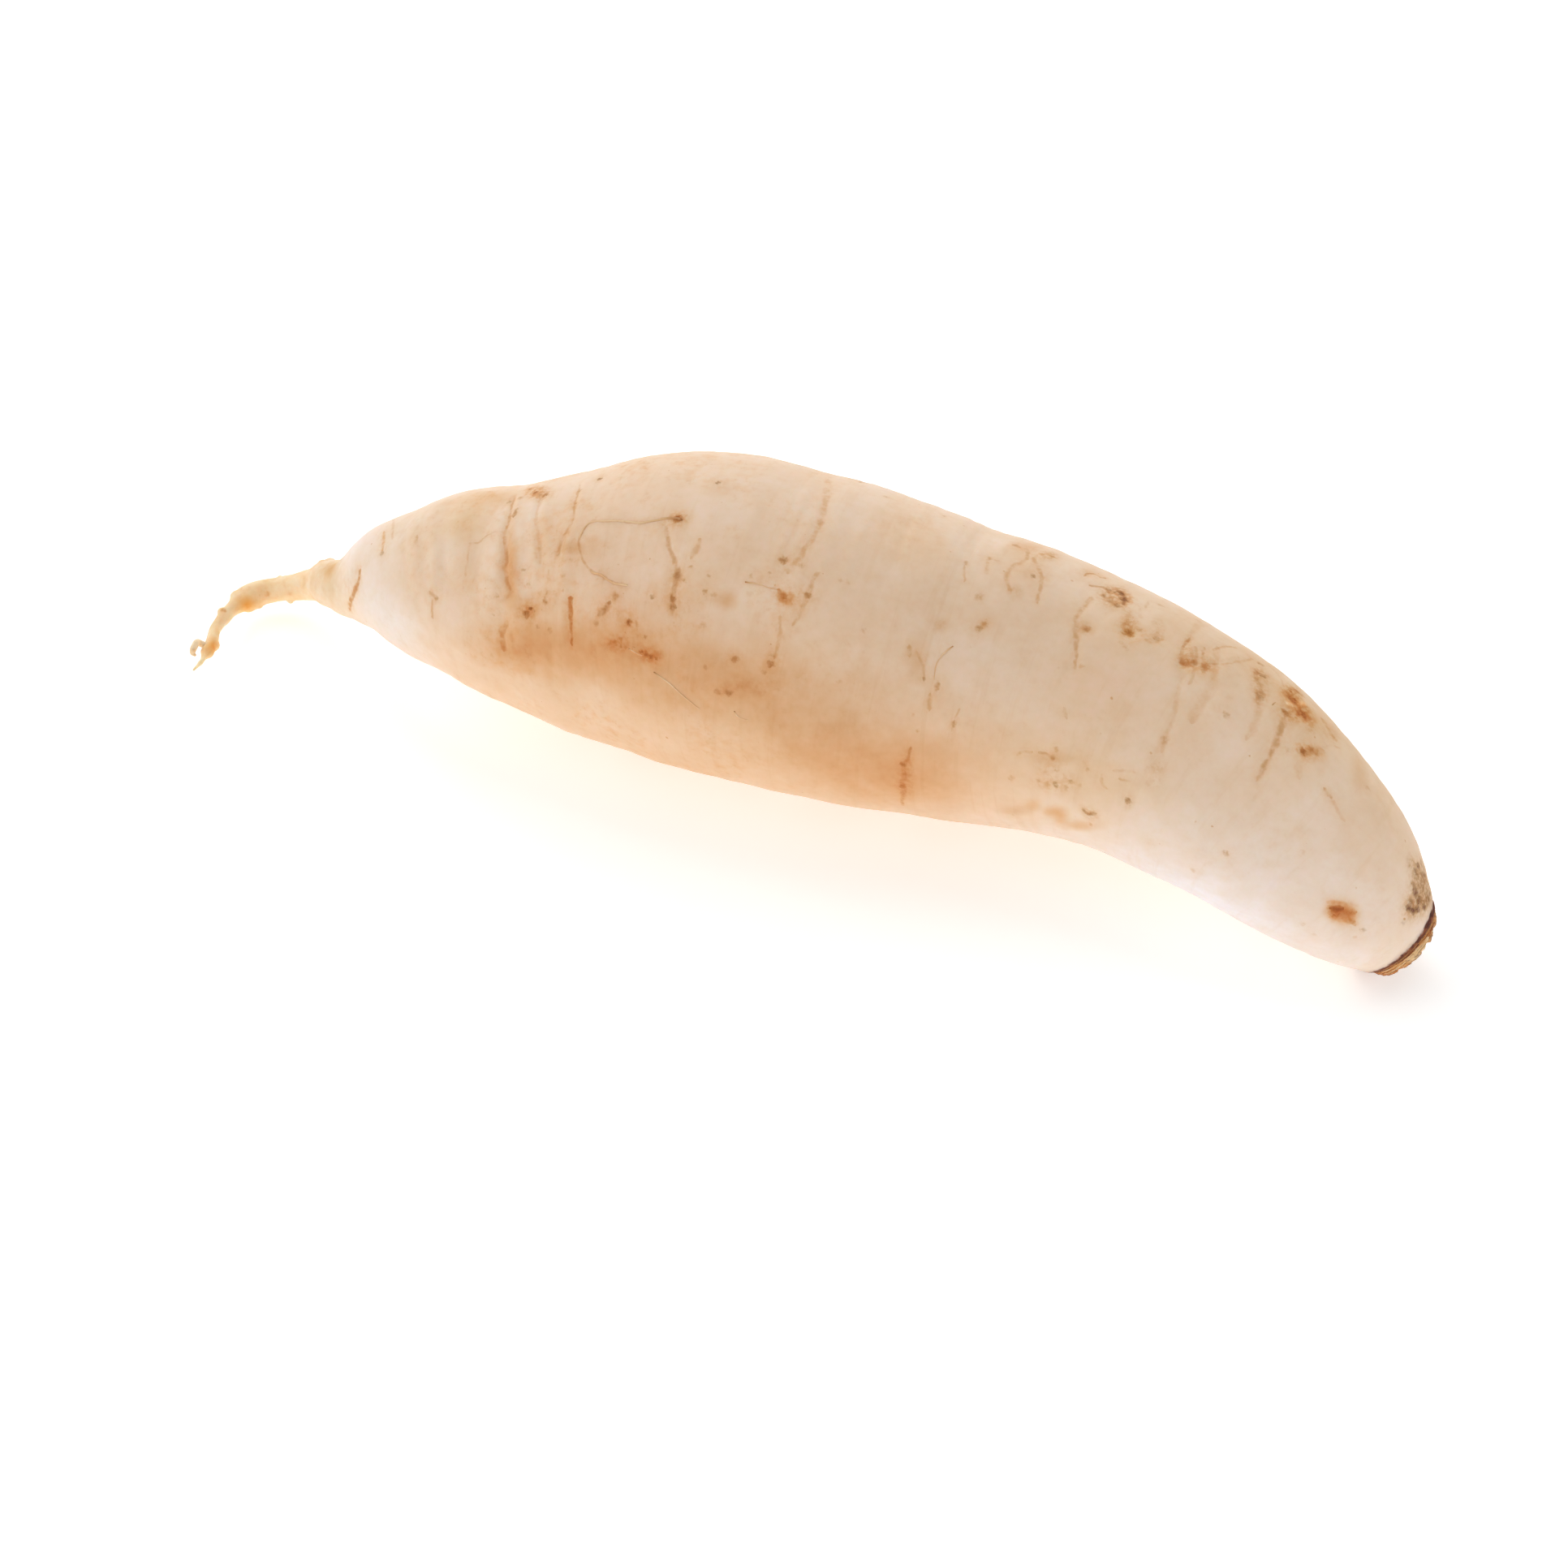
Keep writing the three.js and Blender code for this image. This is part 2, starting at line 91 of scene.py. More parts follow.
# ------------------------------------------------------------------ skin marks
# tone runs from 0 (orange-tan) to 1 (grey-brown), strength is how much blue light the mark takes away
# lines: ([(s, angle, half width mm), ...], tone, strength, groove depth mm)
MARK_LINES = [
    ([(85.32, 42, 0.25), (84.92, 55.5, 0.46), (83.09, 63.1, 0.56), (79.59, 73.7, 0.61), (75.9, 89.8, 0.41)], 0.22, 0.5, 0.3),
    ([(89.27, 7.9, 0.41), (91.05, 20.3, 0.41), (91.84, 27.8, 0.41)], 0.17, 0.26, 0.08),
    ([(101.99, 19.1, 0.3), (102.2, 22.7, 0.3), (102.3, 25.6, 0.3)], 0.33, 0.24, 0.05),
    ([(88.44, -11.9, 0.35), (92.03, 7.7, 0.35), (93.69, 18.4, 0.35)], 0.26, 0.1, 0),
    ([(96.72, 13.2, 0.71), (100.15, 35.8, 0.71), (101.67, 59.3, 0.71)], 0.23, 0.02, 0.22),
    ([(101.29, 5.2, 0.71), (104.77, 31.1, 0.71), (107.04, 53, 0.71)], 0.23, 0, 0.22),
    ([(105.26, -6.1, 0.81), (108.58, 21, 0.81), (111.35, 42.8, 0.81)], 0.23, 0, 0.25),
    ([(114.72, 9.1, 1.42), (118.16, 33.5, 1.42), (120.56, 53.9, 1.42)], 0.23, 0, 0.3),
    ([(127.78, 9.3, 1.01), (129.92, 27.6, 1.01), (131.45, 41, 1.01)], 0.23, 0, 0.22),
    ([(107.98, 54.7, 0.41), (108.92, 56.4, 0.41), (109.89, 58.4, 0.41)], 0.33, 0.15, 0.08),
    ([(108.75, 59.7, 0.3), (108.49, 64.5, 0.3), (108.59, 70.4, 0.3)], 0.29, 0.16, 0.04),
    ([(114.97, 25.2, 0.24), (117.05, 23.1, 0.24), (118.51, 19.3, 0.24), (120.77, 16.9, 0.24), (122.56, 16.3, 0.24)], 0.29, 0.12, 0),
    ([(114.97, 25.2, 0.25), (115.83, 34.4, 0.25), (116.23, 43.1, 0.25)], 0.23, 0.1, 0),
    ([(120, -11.5, 0.3), (121.99, 2.4, 0.3), (123.1, 12.8, 0.35), (123.05, 17.8, 0.41), (124.16, 23.4, 0.35), (125.72, 31.9, 0.35), (125.73, 36, 0.41), (126.98, 42.9, 0.41), (128.07, 46.5, 0.46), (127.24, 50.2, 0.3)], 0.23, 0.22, 0.48),
    ([(127.61, 61.3, 0.51), (126.44, 67.4, 0.51), (126.6, 71.5, 0.51), (126.88, 76.5, 0.51)], 0.2, 0.28, 0.26),
    ([(128.87, 65.4, 0.41), (129.13, 75.1, 0.41)], 0.23, 0.06, 0.2),
    ([(123.9, 6.9, 0.46), (123.93, 1, 0.46)], 0.37, 0.4, 0.12),
    ([(129.29, -6, 0.33), (130.01, 5.7, 0.33), (131.61, 14.9, 0.33), (133.39, 23.7, 0.33), (134.39, 32.2, 0.33)], 0.23, 0.08, 0.32),
    ([(138.07, -13.4, 0.25), (139.63, 2.3, 0.3), (140.61, 11.9, 0.3), (140, 16.9, 0.41), (138.99, 22.4, 0.41), (138.89, 28.4, 0.35)], 0.26, 0.18, 0.26),
    ([(143.81, 46.6, 0.46), (144.02, 51.8, 0.43), (144.13, 57, 0.34), (144.5, 66.5, 0.2)], 0.19, 0.64, 0.12),
    ([(137.1, 49.4, 0.24), (137.63, 44.5, 0.24)], 0.24, 0.25, 0),
    ([(136.81, 35, 0.26), (137.71, 42.7, 0.26)], 0.23, 0.05, 0),
    ([(155.09, 47.9, 0.61), (154.2, 50.3, 0.61), (152.01, 52.5, 0.61)], 0.32, 0.56, 0.1),
    ([(163.49, 53.5, 0.3), (163.96, 57.1, 0.3)], 0.22, 0.23, 0),
    ([(169.53, 15.2, 0.46), (167.57, 14.8, 0.41), (166.04, 15, 0.32), (164.22, 15.9, 0.29), (161.98, 16.7, 0.29), (159.69, 17.4, 0.29), (156.92, 16.6, 0.29), (154.16, 15.8, 0.29), (150.4, 15, 0.29), (146.88, 14.5, 0.29), (145.18, 16.1, 0.29), (144.25, 19.8, 0.29), (144.02, 23.5, 0.29), (145.7, 29.7, 0.29), (147.25, 33.8, 0.29), (149.32, 36.5, 0.32), (151.73, 37.5, 0.34), (153.77, 39.4, 0.34), (156.3, 41, 0.32), (159.86, 41.5, 0.26)], 0.27, 0.18, -0.05),
    ([(166.35, 18.8, 0.43), (167.6, 23.6, 0.43), (169.03, 27.5, 0.43), (169.93, 29.5, 0.43), (171.21, 32.9, 0.56), (171.96, 35.4, 0.61), (172.02, 37.1, 0.61), (171.87, 40, 0.41), (172.16, 43.7, 0.51), (172.12, 46.5, 0.51), (172.69, 49.7, 0.3)], 0.31, 0.21, 0.14),
    ([(174.68, 21.8, 0.3), (174.55, 26, 0.46), (174.1, 29.5, 0.41)], 0.26, 0.16, 0.08),
    ([(161.86, 63.9, 0.3), (163.82, 65, 0.3), (165.7, 65.8, 0.3)], 0.5, -0.12, -0.12),
    ([(186.29, 33.2, 0.26), (189.53, 32.8, 0.26), (191.75, 33.2, 0.26), (193.83, 33.3, 0.26)], 0.25, 0.12, -0.04),
    ([(193.83, 33.3, 0.35), (194.87, 34.1, 0.51), (195.94, 35.2, 0.61)], 0.22, 0.37, 0.1),
    ([(196.07, 41.5, 0.36), (196.6, 46.2, 0.36), (196.91, 50.9, 0.36), (196.75, 56.6, 0.36)], 0.22, 0.14, 0.08),
    ([(194.15, -27.8, 0.71), (195.47, -19.3, 0.76), (196.69, -10.2, 0.61), (197.76, 2.8, 0.47), (197.64, 7.7, 0.41), (197.33, 13.5, 0.51), (196.81, 17.3, 0.51), (196.46, 20.1, 0.61), (195.55, 23.8, 0.51), (195.14, 26.5, 0.35)], 0.24, 0.15, 0.16),
    ([(201.16, 23.6, 0.41), (200.24, 27.6, 0.41), (200.33, 30, 0.41), (200.25, 32.5, 0.51), (200.18, 37, 0.41), (199.84, 40, 0.41), (198.77, 44.2, 0.3)], 0.27, 0.15, 0.14),
    ([(234.42, 0.7, 0.41), (236.68, 8.6, 0.41)], 0.24, 0.13, 0),
    ([(240.22, -5.2, 0.36), (241.67, 1.6, 0.36)], 0.24, 0.12, 0),
    ([(240.45, -7.1, 0.3), (242.81, -7.3, 0.3)], 0.28, 0.12, 0),
    ([(225.45, 39.9, 0.51), (226.52, 43.5, 0.51)], 0.3, 0.19, 0.06),
    ([(227.84, 41.5, 0.34), (230.42, 44.4, 0.34), (232.09, 48, 0.34), (232.72, 50.9, 0.34)], 0.28, 0.16, 0.06),
    ([(239.51, 36.1, 0.32), (237.74, 38.8, 0.3), (236.43, 41.6, 0.28), (235.67, 44.6, 0.22), (236.16, 50.1, 0.16)], 0.31, 0.11, -0.05),
    ([(235.77, 55.7, 0.61), (236.29, 61.3, 0.61)], 0.25, 0.17, 0.08),
    ([(245.73, 59.2, 0.25), (244.74, 63, 0.25), (244.31, 68.4, 0.25)], 0.26, 0.13, 0),
    ([(232.35, 77.5, 0.3), (232.05, 83.1, 0.35), (230.94, 86.2, 0.51), (231.34, 91.6, 0.41), (231.02, 96.4, 0.56), (231, 102.3, 0.51), (230.39, 115.8, 0.26)], 0.22, 0.28, 0.15),
    ([(245.71, -25.5, 0.39), (247.38, -15.5, 0.39), (246.97, -11.2, 0.39), (246.21, -7.7, 0.39), (245.83, -3.2, 0.39), (246.1, 0.8, 0.39), (246.99, 4, 0.39), (248.47, 7, 0.3)], 0.27, 0.16, 0.08),
    ([(248.36, -18.1, 0.39), (249.81, -13.8, 0.39), (251.65, -9.9, 0.39), (253.17, -6, 0.39), (254.03, -1.7, 0.39), (254.62, 3.1, 0.39), (255.41, 7.7, 0.3)], 0.26, 0.17, 0.08),
    ([(265.35, -8.1, 0.51), (265.34, -3.5, 0.51), (265.08, 1, 0.51), (265.17, 5.2, 0.51), (265.84, 10, 0.51), (267.03, 14.5, 0.51), (268.58, 19.7, 0.41), (269.71, 24.9, 0.34), (270.7, 29.7, 0.22)], 0.27, 0.18, 0.22),
    ([(262.8, -15.7, 0.34), (264.18, -17.6, 0.34), (265.13, -18.8, 0.34), (266.28, -18.3, 0.34), (267.46, -15.9, 0.34)], 0.3, 0.25, 0.08),
    ([(266.53, -13.1, 0.32), (267.65, -11.8, 0.32), (268.87, -10.8, 0.32), (270.07, -9.9, 0.32), (271.23, -9.7, 0.32)], 0.31, 0.21, 0.08),
    ([(268.08, -18.3, 0.3), (268.48, -21.6, 0.3), (269.85, -20.6, 0.3), (271.28, -16.7, 0.3), (271.74, -12.3, 0.3)], 0.37, 0.56, 0.1),
    ([(259.97, -20.7, 0.26), (260.27, -25.6, 0.26), (261.57, -27.1, 0.26), (262.85, -26.8, 0.26), (263.79, -29, 0.26)], 0.25, 0.33, 0.12),
    ([(274.57, -25, 0.26), (275.63, -17.2, 0.26)], 0.29, 0.1, 0),
    ([(274.87, -15.1, 0.35), (276.46, -8.7, 0.35)], 0.23, 0.06, 0),
    ([(279.91, 1.9, 0.3), (281.59, 1.9, 0.3), (282.65, -3.3, 0.3)], 0.23, 0.14, 0.08),
    ([(271.99, 47.1, 0.47), (273.36, 50.5, 0.47)], 0.31, 0.16, 0.04),
    ([(288.72, 3.1, 0.51), (289.79, 2.7, 0.51), (290.64, 0.8, 0.51), (291.17, -1.5, 0.51)], 0.23, 0.25, 0.32),
    ([(286.34, -13.7, 0.3), (286.83, -7.3, 0.3), (287.07, -3.5, 0.3), (287.91, 0.2, 0.3), (288.74, 2.5, 0.3)], 0.25, 0.25, 0.12),
    ([(288.82, -9.6, 0.35), (290.09, -5.6, 0.35), (291.77, 1.8, 0.35), (292.51, 6.9, 0.35), (293.13, 11.9, 0.25)], 0.27, 0.1, 0.12),
    ([(289.3, 4.5, 0.36), (290.57, 9.6, 0.36), (291.67, 15.2, 0.36), (292.62, 20.6, 0.41), (294.13, 27.6, 0.35), (294.92, 35.3, 0.41), (295.26, 40.8, 0.41), (295.76, 45.6, 0.3)], 0.24, 0.09, 0.16),
    ([(283.58, -37.7, 0.61), (285.5, -23.9, 0.61), (286.28, -15.5, 0.61), (286.79, -10.4, 0.61)], 0.25, 0.07, 0.06),
    ([(290.27, -12.5, 0.3), (292.04, -4.1, 0.3), (293.73, 2.3, 0.3)], 0.27, 0.21, 0.1),
    ([(292.03, -19.2, 0.51), (294.07, -8.1, 0.61), (295.54, -0.8, 0.71), (297.02, 8.3, 0.81), (297.08, 14.6, 0.81), (297.35, 19.6, 0.81), (297.91, 26.3, 0.61)], 0.24, 0.09, 0.16),
    ([(293.48, -4.4, 0.3), (295.79, -10.4, 0.3), (297.52, -19.5, 0.3), (298.1, -29.4, 0.3)], 0.22, 0.15, 0.1),
    ([(291.83, -14.2, 0.3), (292.07, -18.2, 0.3), (292.74, -22.2, 0.3), (294.27, -29.2, 0.3)], 0.24, 0.13, 0.06),
    ([(300.47, -20.7, 0.45), (302.14, -13.6, 0.45), (303.53, -11.4, 0.45), (304.8, -5.9, 0.56), (305.4, -1.2, 0.45)], 0.29, 0.25, 0.12),
    ([(300.71, -36, 0.3), (303.76, -32.2, 0.3), (306.23, -25.1, 0.3)], 0.24, 0.07, 0.06),
    ([(305.6, -1.2, 0.61), (306.94, 6.1, 0.61), (307.81, 12.7, 0.61), (308.06, 18.1, 0.41)], 0.23, 0.1, 0.14),
    ([(309.15, -13.9, 0.51), (309.88, -19.6, 0.51), (310.95, -25.6, 0.51)], 0.5, -0.14, -0.28),
    ([(310.53, -5.4, 0.46), (311.22, 0.4, 0.46), (311.7, 3.6, 0.55), (312.27, 7.7, 0.57), (312.61, 11.6, 0.45), (313.23, 16.9, 0.45), (313.45, 20.8, 0.43), (313.85, 25.3, 0.36), (314.21, 30.8, 0.26)], 0.28, 0.26, 0.26),
    ([(316.18, 3.3, 0.71), (317.12, 1.5, 0.71), (318.39, -2.3, 0.71), (319.24, -8.1, 0.71)], 0.23, 0.22, 0.1),
    ([(318.92, -9.4, 0.26), (319.88, -15.9, 0.26), (321.39, -20.9, 0.26)], 0.23, 0.09, 0.04),
    ([(314.92, -28, 0.51), (317.1, -25.6, 0.51), (319.73, -23.6, 0.51)], 0.22, 0.19, 0.05),
    ([(324.38, 8.9, 0.36), (325.22, 9.6, 0.36), (326.48, 10.3, 0.36)], 0.28, 0.29, 0.05),
    ([(326.89, 11.1, 0.41), (328.88, 12.9, 0.41), (331.09, 14.8, 0.41)], 0.22, 0.08, 0.05),
    ([(317.78, 9.5, 0.61), (319.69, 14.6, 0.61)], 0.21, 0.11, 0.03),
    ([(263.86, 72.5, 0.3), (265.06, 70.4, 0.3), (267.52, 69.2, 0.3)], 0.26, 0.18, 0.05),
    ([(269.17, 68.3, 0.35), (271.33, 67.9, 0.35), (273.5, 69, 0.35)], 0.28, 0.2, 0.05),
    ([(280.7, 64.8, 0.3), (282.8, 67.9, 0.3)], 0.27, 0.11, 0),
    ([(285.93, 67.1, 0.3), (286.97, 71.2, 0.3), (288.57, 72.1, 0.3)], 0.26, 0.13, 0),
    ([(288.33, 63.1, 0.3), (290.43, 60.5, 0.3), (292.79, 59.3, 0.3)], 0.26, 0.1, 0),
    ([(290.21, 65.3, 0.3), (292.44, 64.2, 0.3)], 0.28, 0.14, 0),
    ([(283.92, 88, 0.36), (284.94, 89.6, 0.36), (285.86, 90.2, 0.36)], 0.4, 0.44, 0.03),
    ([(285.44, 90.4, 0.43), (287.42, 87.9, 0.43)], 0.39, 0.67, 0.06),
    ([(341.02, 59.4, 0.51), (341.74, 57.6, 0.51), (342.26, 54.4, 0.51)], 0.24, 0.63, 0.1),
    ([(341.66, 61.6, 0.81), (343.03, 57.8, 0.81), (344.63, 51.9, 0.81)], 0.16, 0.31, 0),
    ([(342.38, 64.1, 0.51), (343.58, 61.2, 0.51), (344.86, 57.1, 0.51)], 0.12, 0.22, 0),
    ([(339.46, 57.8, 0.36), (340.52, 54.3, 0.36), (342.31, 50.4, 0.36)], 0.18, 0.19, 0),
    ([(342.64, 49.3, 0.3), (343.42, 47.7, 0.3), (344.32, 46.4, 0.3)], 0.22, 0.07, 0),
    ([(344.24, 60, 0.51), (345.14, 58.9, 0.51), (346.02, 57, 0.51)], 0.17, 0.29, 0),
    ([(345.44, 57, 0.3), (346.27, 57.9, 0.3), (346.77, 59.1, 0.3)], 0.2, 0.19, 0),
    ([(343.04, 66.5, 0.3), (344.45, 62.9, 0.3)], 0.23, 0.03, 0),
]
# spots: (s, angle, radius mm, tone, strength, dimple depth mm)
MARK_SPOTS = [
    (92.19, 30.6, 0.61, 0.45, 0.32, 0.05), (109.89, 58.4, 0.65, 0.4, 0.17, 0.05), (119.7, -6.4, 0.61, 0.44, 0.29, 0), (123.61, -17.5, 0.55, 0.24, 0.84, 0),
    (126.68, -11.4, 0.73, 0.32, 1.11, 0.05), (128.51, -9, 0.61, 0.36, 0.32, 0), (130.07, -7.7, 0.61, 0.42, 0.44, 0), (122.74, -7.9, 0.81, 0.34, 0.22, 0),
    (123.93, -10.6, 0.41, 0.2, 0.18, 0), (138.98, 29.2, 0.61, 0.33, 0.23, 0), (130.62, 36.2, 0.53, 0.39, 0.2, 0), (132.42, 42.7, 0.49, 0.31, 0.16, 0),
    (132.51, 56.2, 0.85, 0.3, 0.99, 0.1), (133.47, 53.4, 0.51, 0.3, 1.47, 0.05), (134.36, 54.2, 0.41, 0.31, 0.32, 0), (137.1, 49.4, 0.53, 0.35, 0.37, 0),
    (135.61, 60.7, 0.61, 0.29, 0.21, 0), (138.78, 61.1, 0.61, 0.31, 0.25, 0), (141.25, 38.2, 0.53, 0.32, 0.16, 0), (142.6, 31.3, 0.53, 0.34, 0.13, 0),
    (124.77, 50.1, 0.51, 0.34, 0.19, 0), (124.35, 59.1, 0.45, 0.34, 0.17, 0), (111.24, -12.1, 0.61, 0.22, 0.08, 0), (112.78, -19, 0.61, 0.27, 0.08, 0),
    (168.56, 15, 1.01, 0.27, 0.92, -0.15), (171.9, 36.3, 0.85, 0.39, 0.25, 0.05), (172.07, 44.5, 0.61, 0.38, 0.36, 0), (172.41, 47.3, 0.73, 0.39, 0.52, 0),
    (174.61, 32.6, 0.51, 0.31, 0.21, 0), (173.76, 37.6, 0.51, 0.33, 0.23, 0), (173.45, -4.9, 0.57, 0.51, 0.51, 0.08), (143.88, -13.9, 0.81, 0.39, 0.63, 0.05),
    (139.43, -6.3, 0.53, 0.37, 0.21, 0), (139.63, 2.3, 0.53, 0.32, 0.16, 0), (178.51, 34.6, 0.53, 0.34, 0.17, 0), (178.74, 40, 0.61, 0.34, 0.24, 0),
    (180.74, 40.3, 0.53, 0.33, 0.15, 0), (167.06, 44.9, 0.61, 0.42, 0.31, 0), (179.98, 51.1, 0.81, 0.3, 0.15, 0), (156.7, 45.7, 1.01, 0.28, 0.33, 0),
    (161.47, 54.6, 0.85, 0.28, 1.09, 0.12), (151.33, 55.9, 0.91, 0.31, 0.2, 0), (155.8, 62.4, 0.65, 0.21, 0.47, 0), (157.45, 62.8, 0.73, 0.2, 0.48, 0.05),
    (159.32, 63.5, 0.51, 0.23, 0.87, 0), (160.86, 63.5, 0.53, 0.24, 0.3, 0), (165.43, 64.4, 0.51, 0.19, 0.99, 0), (166.8, 65, 0.81, 0.2, 0.57, 0.1),
    (168.16, 65.5, 0.73, 0.21, 0.66, 0), (169.5, 66, 0.51, 0.21, 1.17, 0), (159.27, 60.8, 0.61, 0.23, 0.36, 0), (164.06, 58.8, 0.61, 0.27, 0.08, 0),
    (166.32, 59, 0.53, 0.3, 0.29, 0), (196.15, 35.4, 1.62, 0.16, 0.43, 0.25), (187.1, 30.8, 0.53, 0.32, 0.15, 0), (191.12, 28, 0.53, 0.35, 0.16, 0),
    (188.54, 59.6, 0.81, 0.29, 0.43, 0), (196.24, 58.5, 0.81, 0.32, 0.62, 0.08), (196.26, 55.6, 0.61, 0.32, 0.26, 0), (182.62, 65, 0.61, 0.31, 0.25, 0),
    (195.14, 61.7, 0.65, 0.29, 0.18, 0), (186.15, 72.6, 0.81, 0.29, 0.3, 0), (188.35, 71.9, 0.81, 0.34, 0.44, 0), (190.3, 68.9, 0.61, 0.23, 0.08, 0),
    (197.76, 2.8, 0.69, 0.31, 0.08, 0.05), (200.25, 32.5, 0.81, 0.36, 0.41, 0.08), (193.23, 22.1, 0.93, 0.36, 0.47, 0.15), (197.42, 22.6, 0.65, 0.35, 0.2, 0),
    (206.48, -26.4, 0.73, 0.33, 0.13, 0), (221.68, -28.1, 0.65, 0.36, 0.15, 0), (234.59, -0.8, 0.81, 0.39, 0.18, 0), (240.45, -7.1, 0.73, 0.34, 0.2, 0),
    (242.13, 13.6, 1.12, 0.31, 0.22, 0), (244.71, 26.9, 0.89, 0.33, 0.37, 0.15), (245.83, 24.3, 1.01, 0.27, 0.28, 0), (213.62, 39.2, 0.61, 0.28, 0.11, 0),
    (205.44, 24, 0.53, 0.31, 0.1, 0), (207.21, 24, 0.53, 0.29, 0.09, 0), (216.76, -13.7, 0.61, 0.34, 0.1, 0), (211.51, 58.6, 0.61, 0.29, 0.11, 0),
    (232.66, 50.6, 0.61, 0.44, 0.22, 0), (237.54, 51.9, 0.93, 0.32, 0.29, 0), (244.5, 65.3, 0.85, 0.34, 0.24, 0), (233.8, 70.2, 0.53, 0.28, 0.19, 0),
    (231.62, 64.2, 0.53, 0.23, 0.13, 0), (230.94, 86.2, 0.85, 0.28, 0.46, 0.05), (231.02, 99, 0.85, 0.24, 0.39, 0.05), (233.97, 29.1, 1.62, 0.27, 0.09, 0),
    (251.05, -5.3, 0.73, 0.49, 0.32, 0.1), (243.51, -24.2, 0.89, 0.31, 0.28, 0), (249.35, -23.3, 0.61, 0.24, 0.17, 0), (251.14, -25.6, 0.73, 0.28, 0.19, 0),
    (268.54, 10.2, 1.01, 0.27, 0.41, 0.35), (276.4, 2.5, 1.14, 0.23, 1.03, 0.45), (277.94, -1.3, 0.81, 0.27, 0.23, 0.1), (281.5, -1.9, 0.77, 0.34, 0.36, 0.22),
    (267.02, -12.8, 0.65, 0.47, 0.23, 0), (266.9, -18.6, 0.65, 0.43, 0.31, 0), (268.87, -10.8, 0.73, 0.41, 0.19, 0.08), (271.04, -9.7, 0.85, 0.44, 0.36, 0),
    (269.29, -20.3, 0.77, 0.42, 0.69, 0.1), (270.87, -16.7, 0.93, 0.37, 1.28, 0.12), (269.67, -11.5, 0.61, 0.33, 0.09, 0), (259.27, -40.1, 0.53, 0.27, 0.08, 0),
    (276.71, -27.3, 0.81, 0.33, 0.15, 0), (277.85, 10.8, 0.65, 0.31, 0.12, 0), (276.52, 9.9, 0.53, 0.29, 0.08, 0), (271.94, 27.5, 0.65, 0.26, 0.12, 0),
    (295.21, 40.2, 0.93, 0.3, 0.18, 0.05), (263.89, 58.8, 0.61, 0.27, 0.09, 0), (289.61, 2.4, 1.01, 0.22, 0.56, 0.25), (291.03, -0.6, 0.81, 0.29, 0.17, 0),
    (293.22, -1.8, 1.09, 0.21, 0.43, 0.3), (304.85, -5.7, 0.85, 0.4, 0.24, 0.05), (302.26, -20.1, 0.85, 0.36, 0.56, 0.1), (300, -29.4, 0.73, 0.34, 0.28, 0),
    (309.12, -20.6, 1.22, 0.23, 1, 0.2), (311.99, -17, 1.42, 0.19, 0.94, 0.25), (310.07, -8.5, 0.97, 0.3, 0.68, 0.1), (307.74, -21.9, 0.81, 0.21, 0.23, 0),
    (308.44, -31.7, 0.81, 0.23, 0.27, 0), (313.14, -18.3, 0.93, 0.15, 0.38, 0), (317.07, 1.7, 0.85, 0.27, 0.94, 0.1), (317.76, -3, 0.61, 0.27, 0.38, 0),
    (318.91, -3.5, 0.61, 0.23, 0.25, 0), (302.39, 14.7, 0.77, 0.39, 0.23, 0.05), (314.81, 7.7, 0.61, 0.32, 0.13, 0), (330.41, -14.6, 0.73, 0.29, 0.13, 0),
    (294, 73.2, 0.77, 0.48, 0.48, 0.08), (273.03, 68.8, 0.73, 0.3, 0.2, 0), (273.47, 64.4, 0.61, 0.28, 0.17, 0), (274.83, 73.7, 0.65, 0.31, 0.14, 0),
    (271.82, 75.8, 0.61, 0.27, 0.08, 0), (262.99, 83.9, 0.89, 0.29, 0.16, 0), (270.23, 81.6, 0.73, 0.31, 0.21, 0), (272.86, 82.3, 0.81, 0.26, 0.19, 0),
    (275.16, 81, 0.81, 0.45, 0.33, 0), (278.32, 80.7, 0.73, 0.35, 0.16, 0), (279.51, 76.8, 0.73, 0.38, 0.23, 0), (277.42, 75.3, 0.61, 0.29, 0.08, 0),
    (281.79, 76.8, 0.61, 0.29, 0.09, 0), (282.76, 67.7, 0.65, 0.34, 0.16, 0), (296.3, 60.8, 0.73, 0.29, 0.11, 0), (286.61, 96.2, 0.61, 0.3, 0.19, 0),
    (314.86, 91.1, 0.77, 0.3, 0.12, 0), (318.33, 69.8, 0.81, 0.36, 0.23, 0), (262.79, 108.1, 0.61, 0.3, 0.15, 0), (348.64, 58.1, 0.65, 0.44, 0.22, 0),
    (348.9, 67.1, 0.61, 0.32, 0.09, 0), (329.48, 43.6, 0.61, 0.3, 0.09, 0), (339.59, 80.7, 0.61, 0.29, 0.11, 0), (343.05, 83.2, 0.61, 0.31, 0.08, 0),
    (353.47, 34.5, 0.69, 0.62, 0.11, 0), (348.65, -10.8, 0.77, 0.62, 0.54, 0), (348.81, -4.8, 0.77, 0.62, 0.42, 0.1), (351.77, -13.8, 0.65, 0.62, 0.28, 0),
    (349.77, 5.7, 0.61, 0.62, 0.24, 0), (351.35, 8.3, 1.01, 0.62, 0.7, 0.1), (353.32, 10.4, 1.01, 0.62, 0.47, 0.1), (351.64, 18.1, 0.77, 0.62, 0.44, 0),
    (352.34, 22.6, 0.85, 0.62, 0.82, 0.08), (353.52, 22.2, 0.81, 0.62, 0.93, 0), (354.53, 17.2, 0.85, 0.62, 0.77, 0), (356, 8.4, 0.85, 0.62, 0.64, 0),
    (356.36, -4.6, 0.85, 0.62, 0.21, 0), (352.48, -2.9, 0.69, 0.62, 0.11, 0), (354.28, -4.1, 0.69, 0.62, 0.08, 0), (31.71, 82.6, 0.91, 0.13, 0.13, 0),
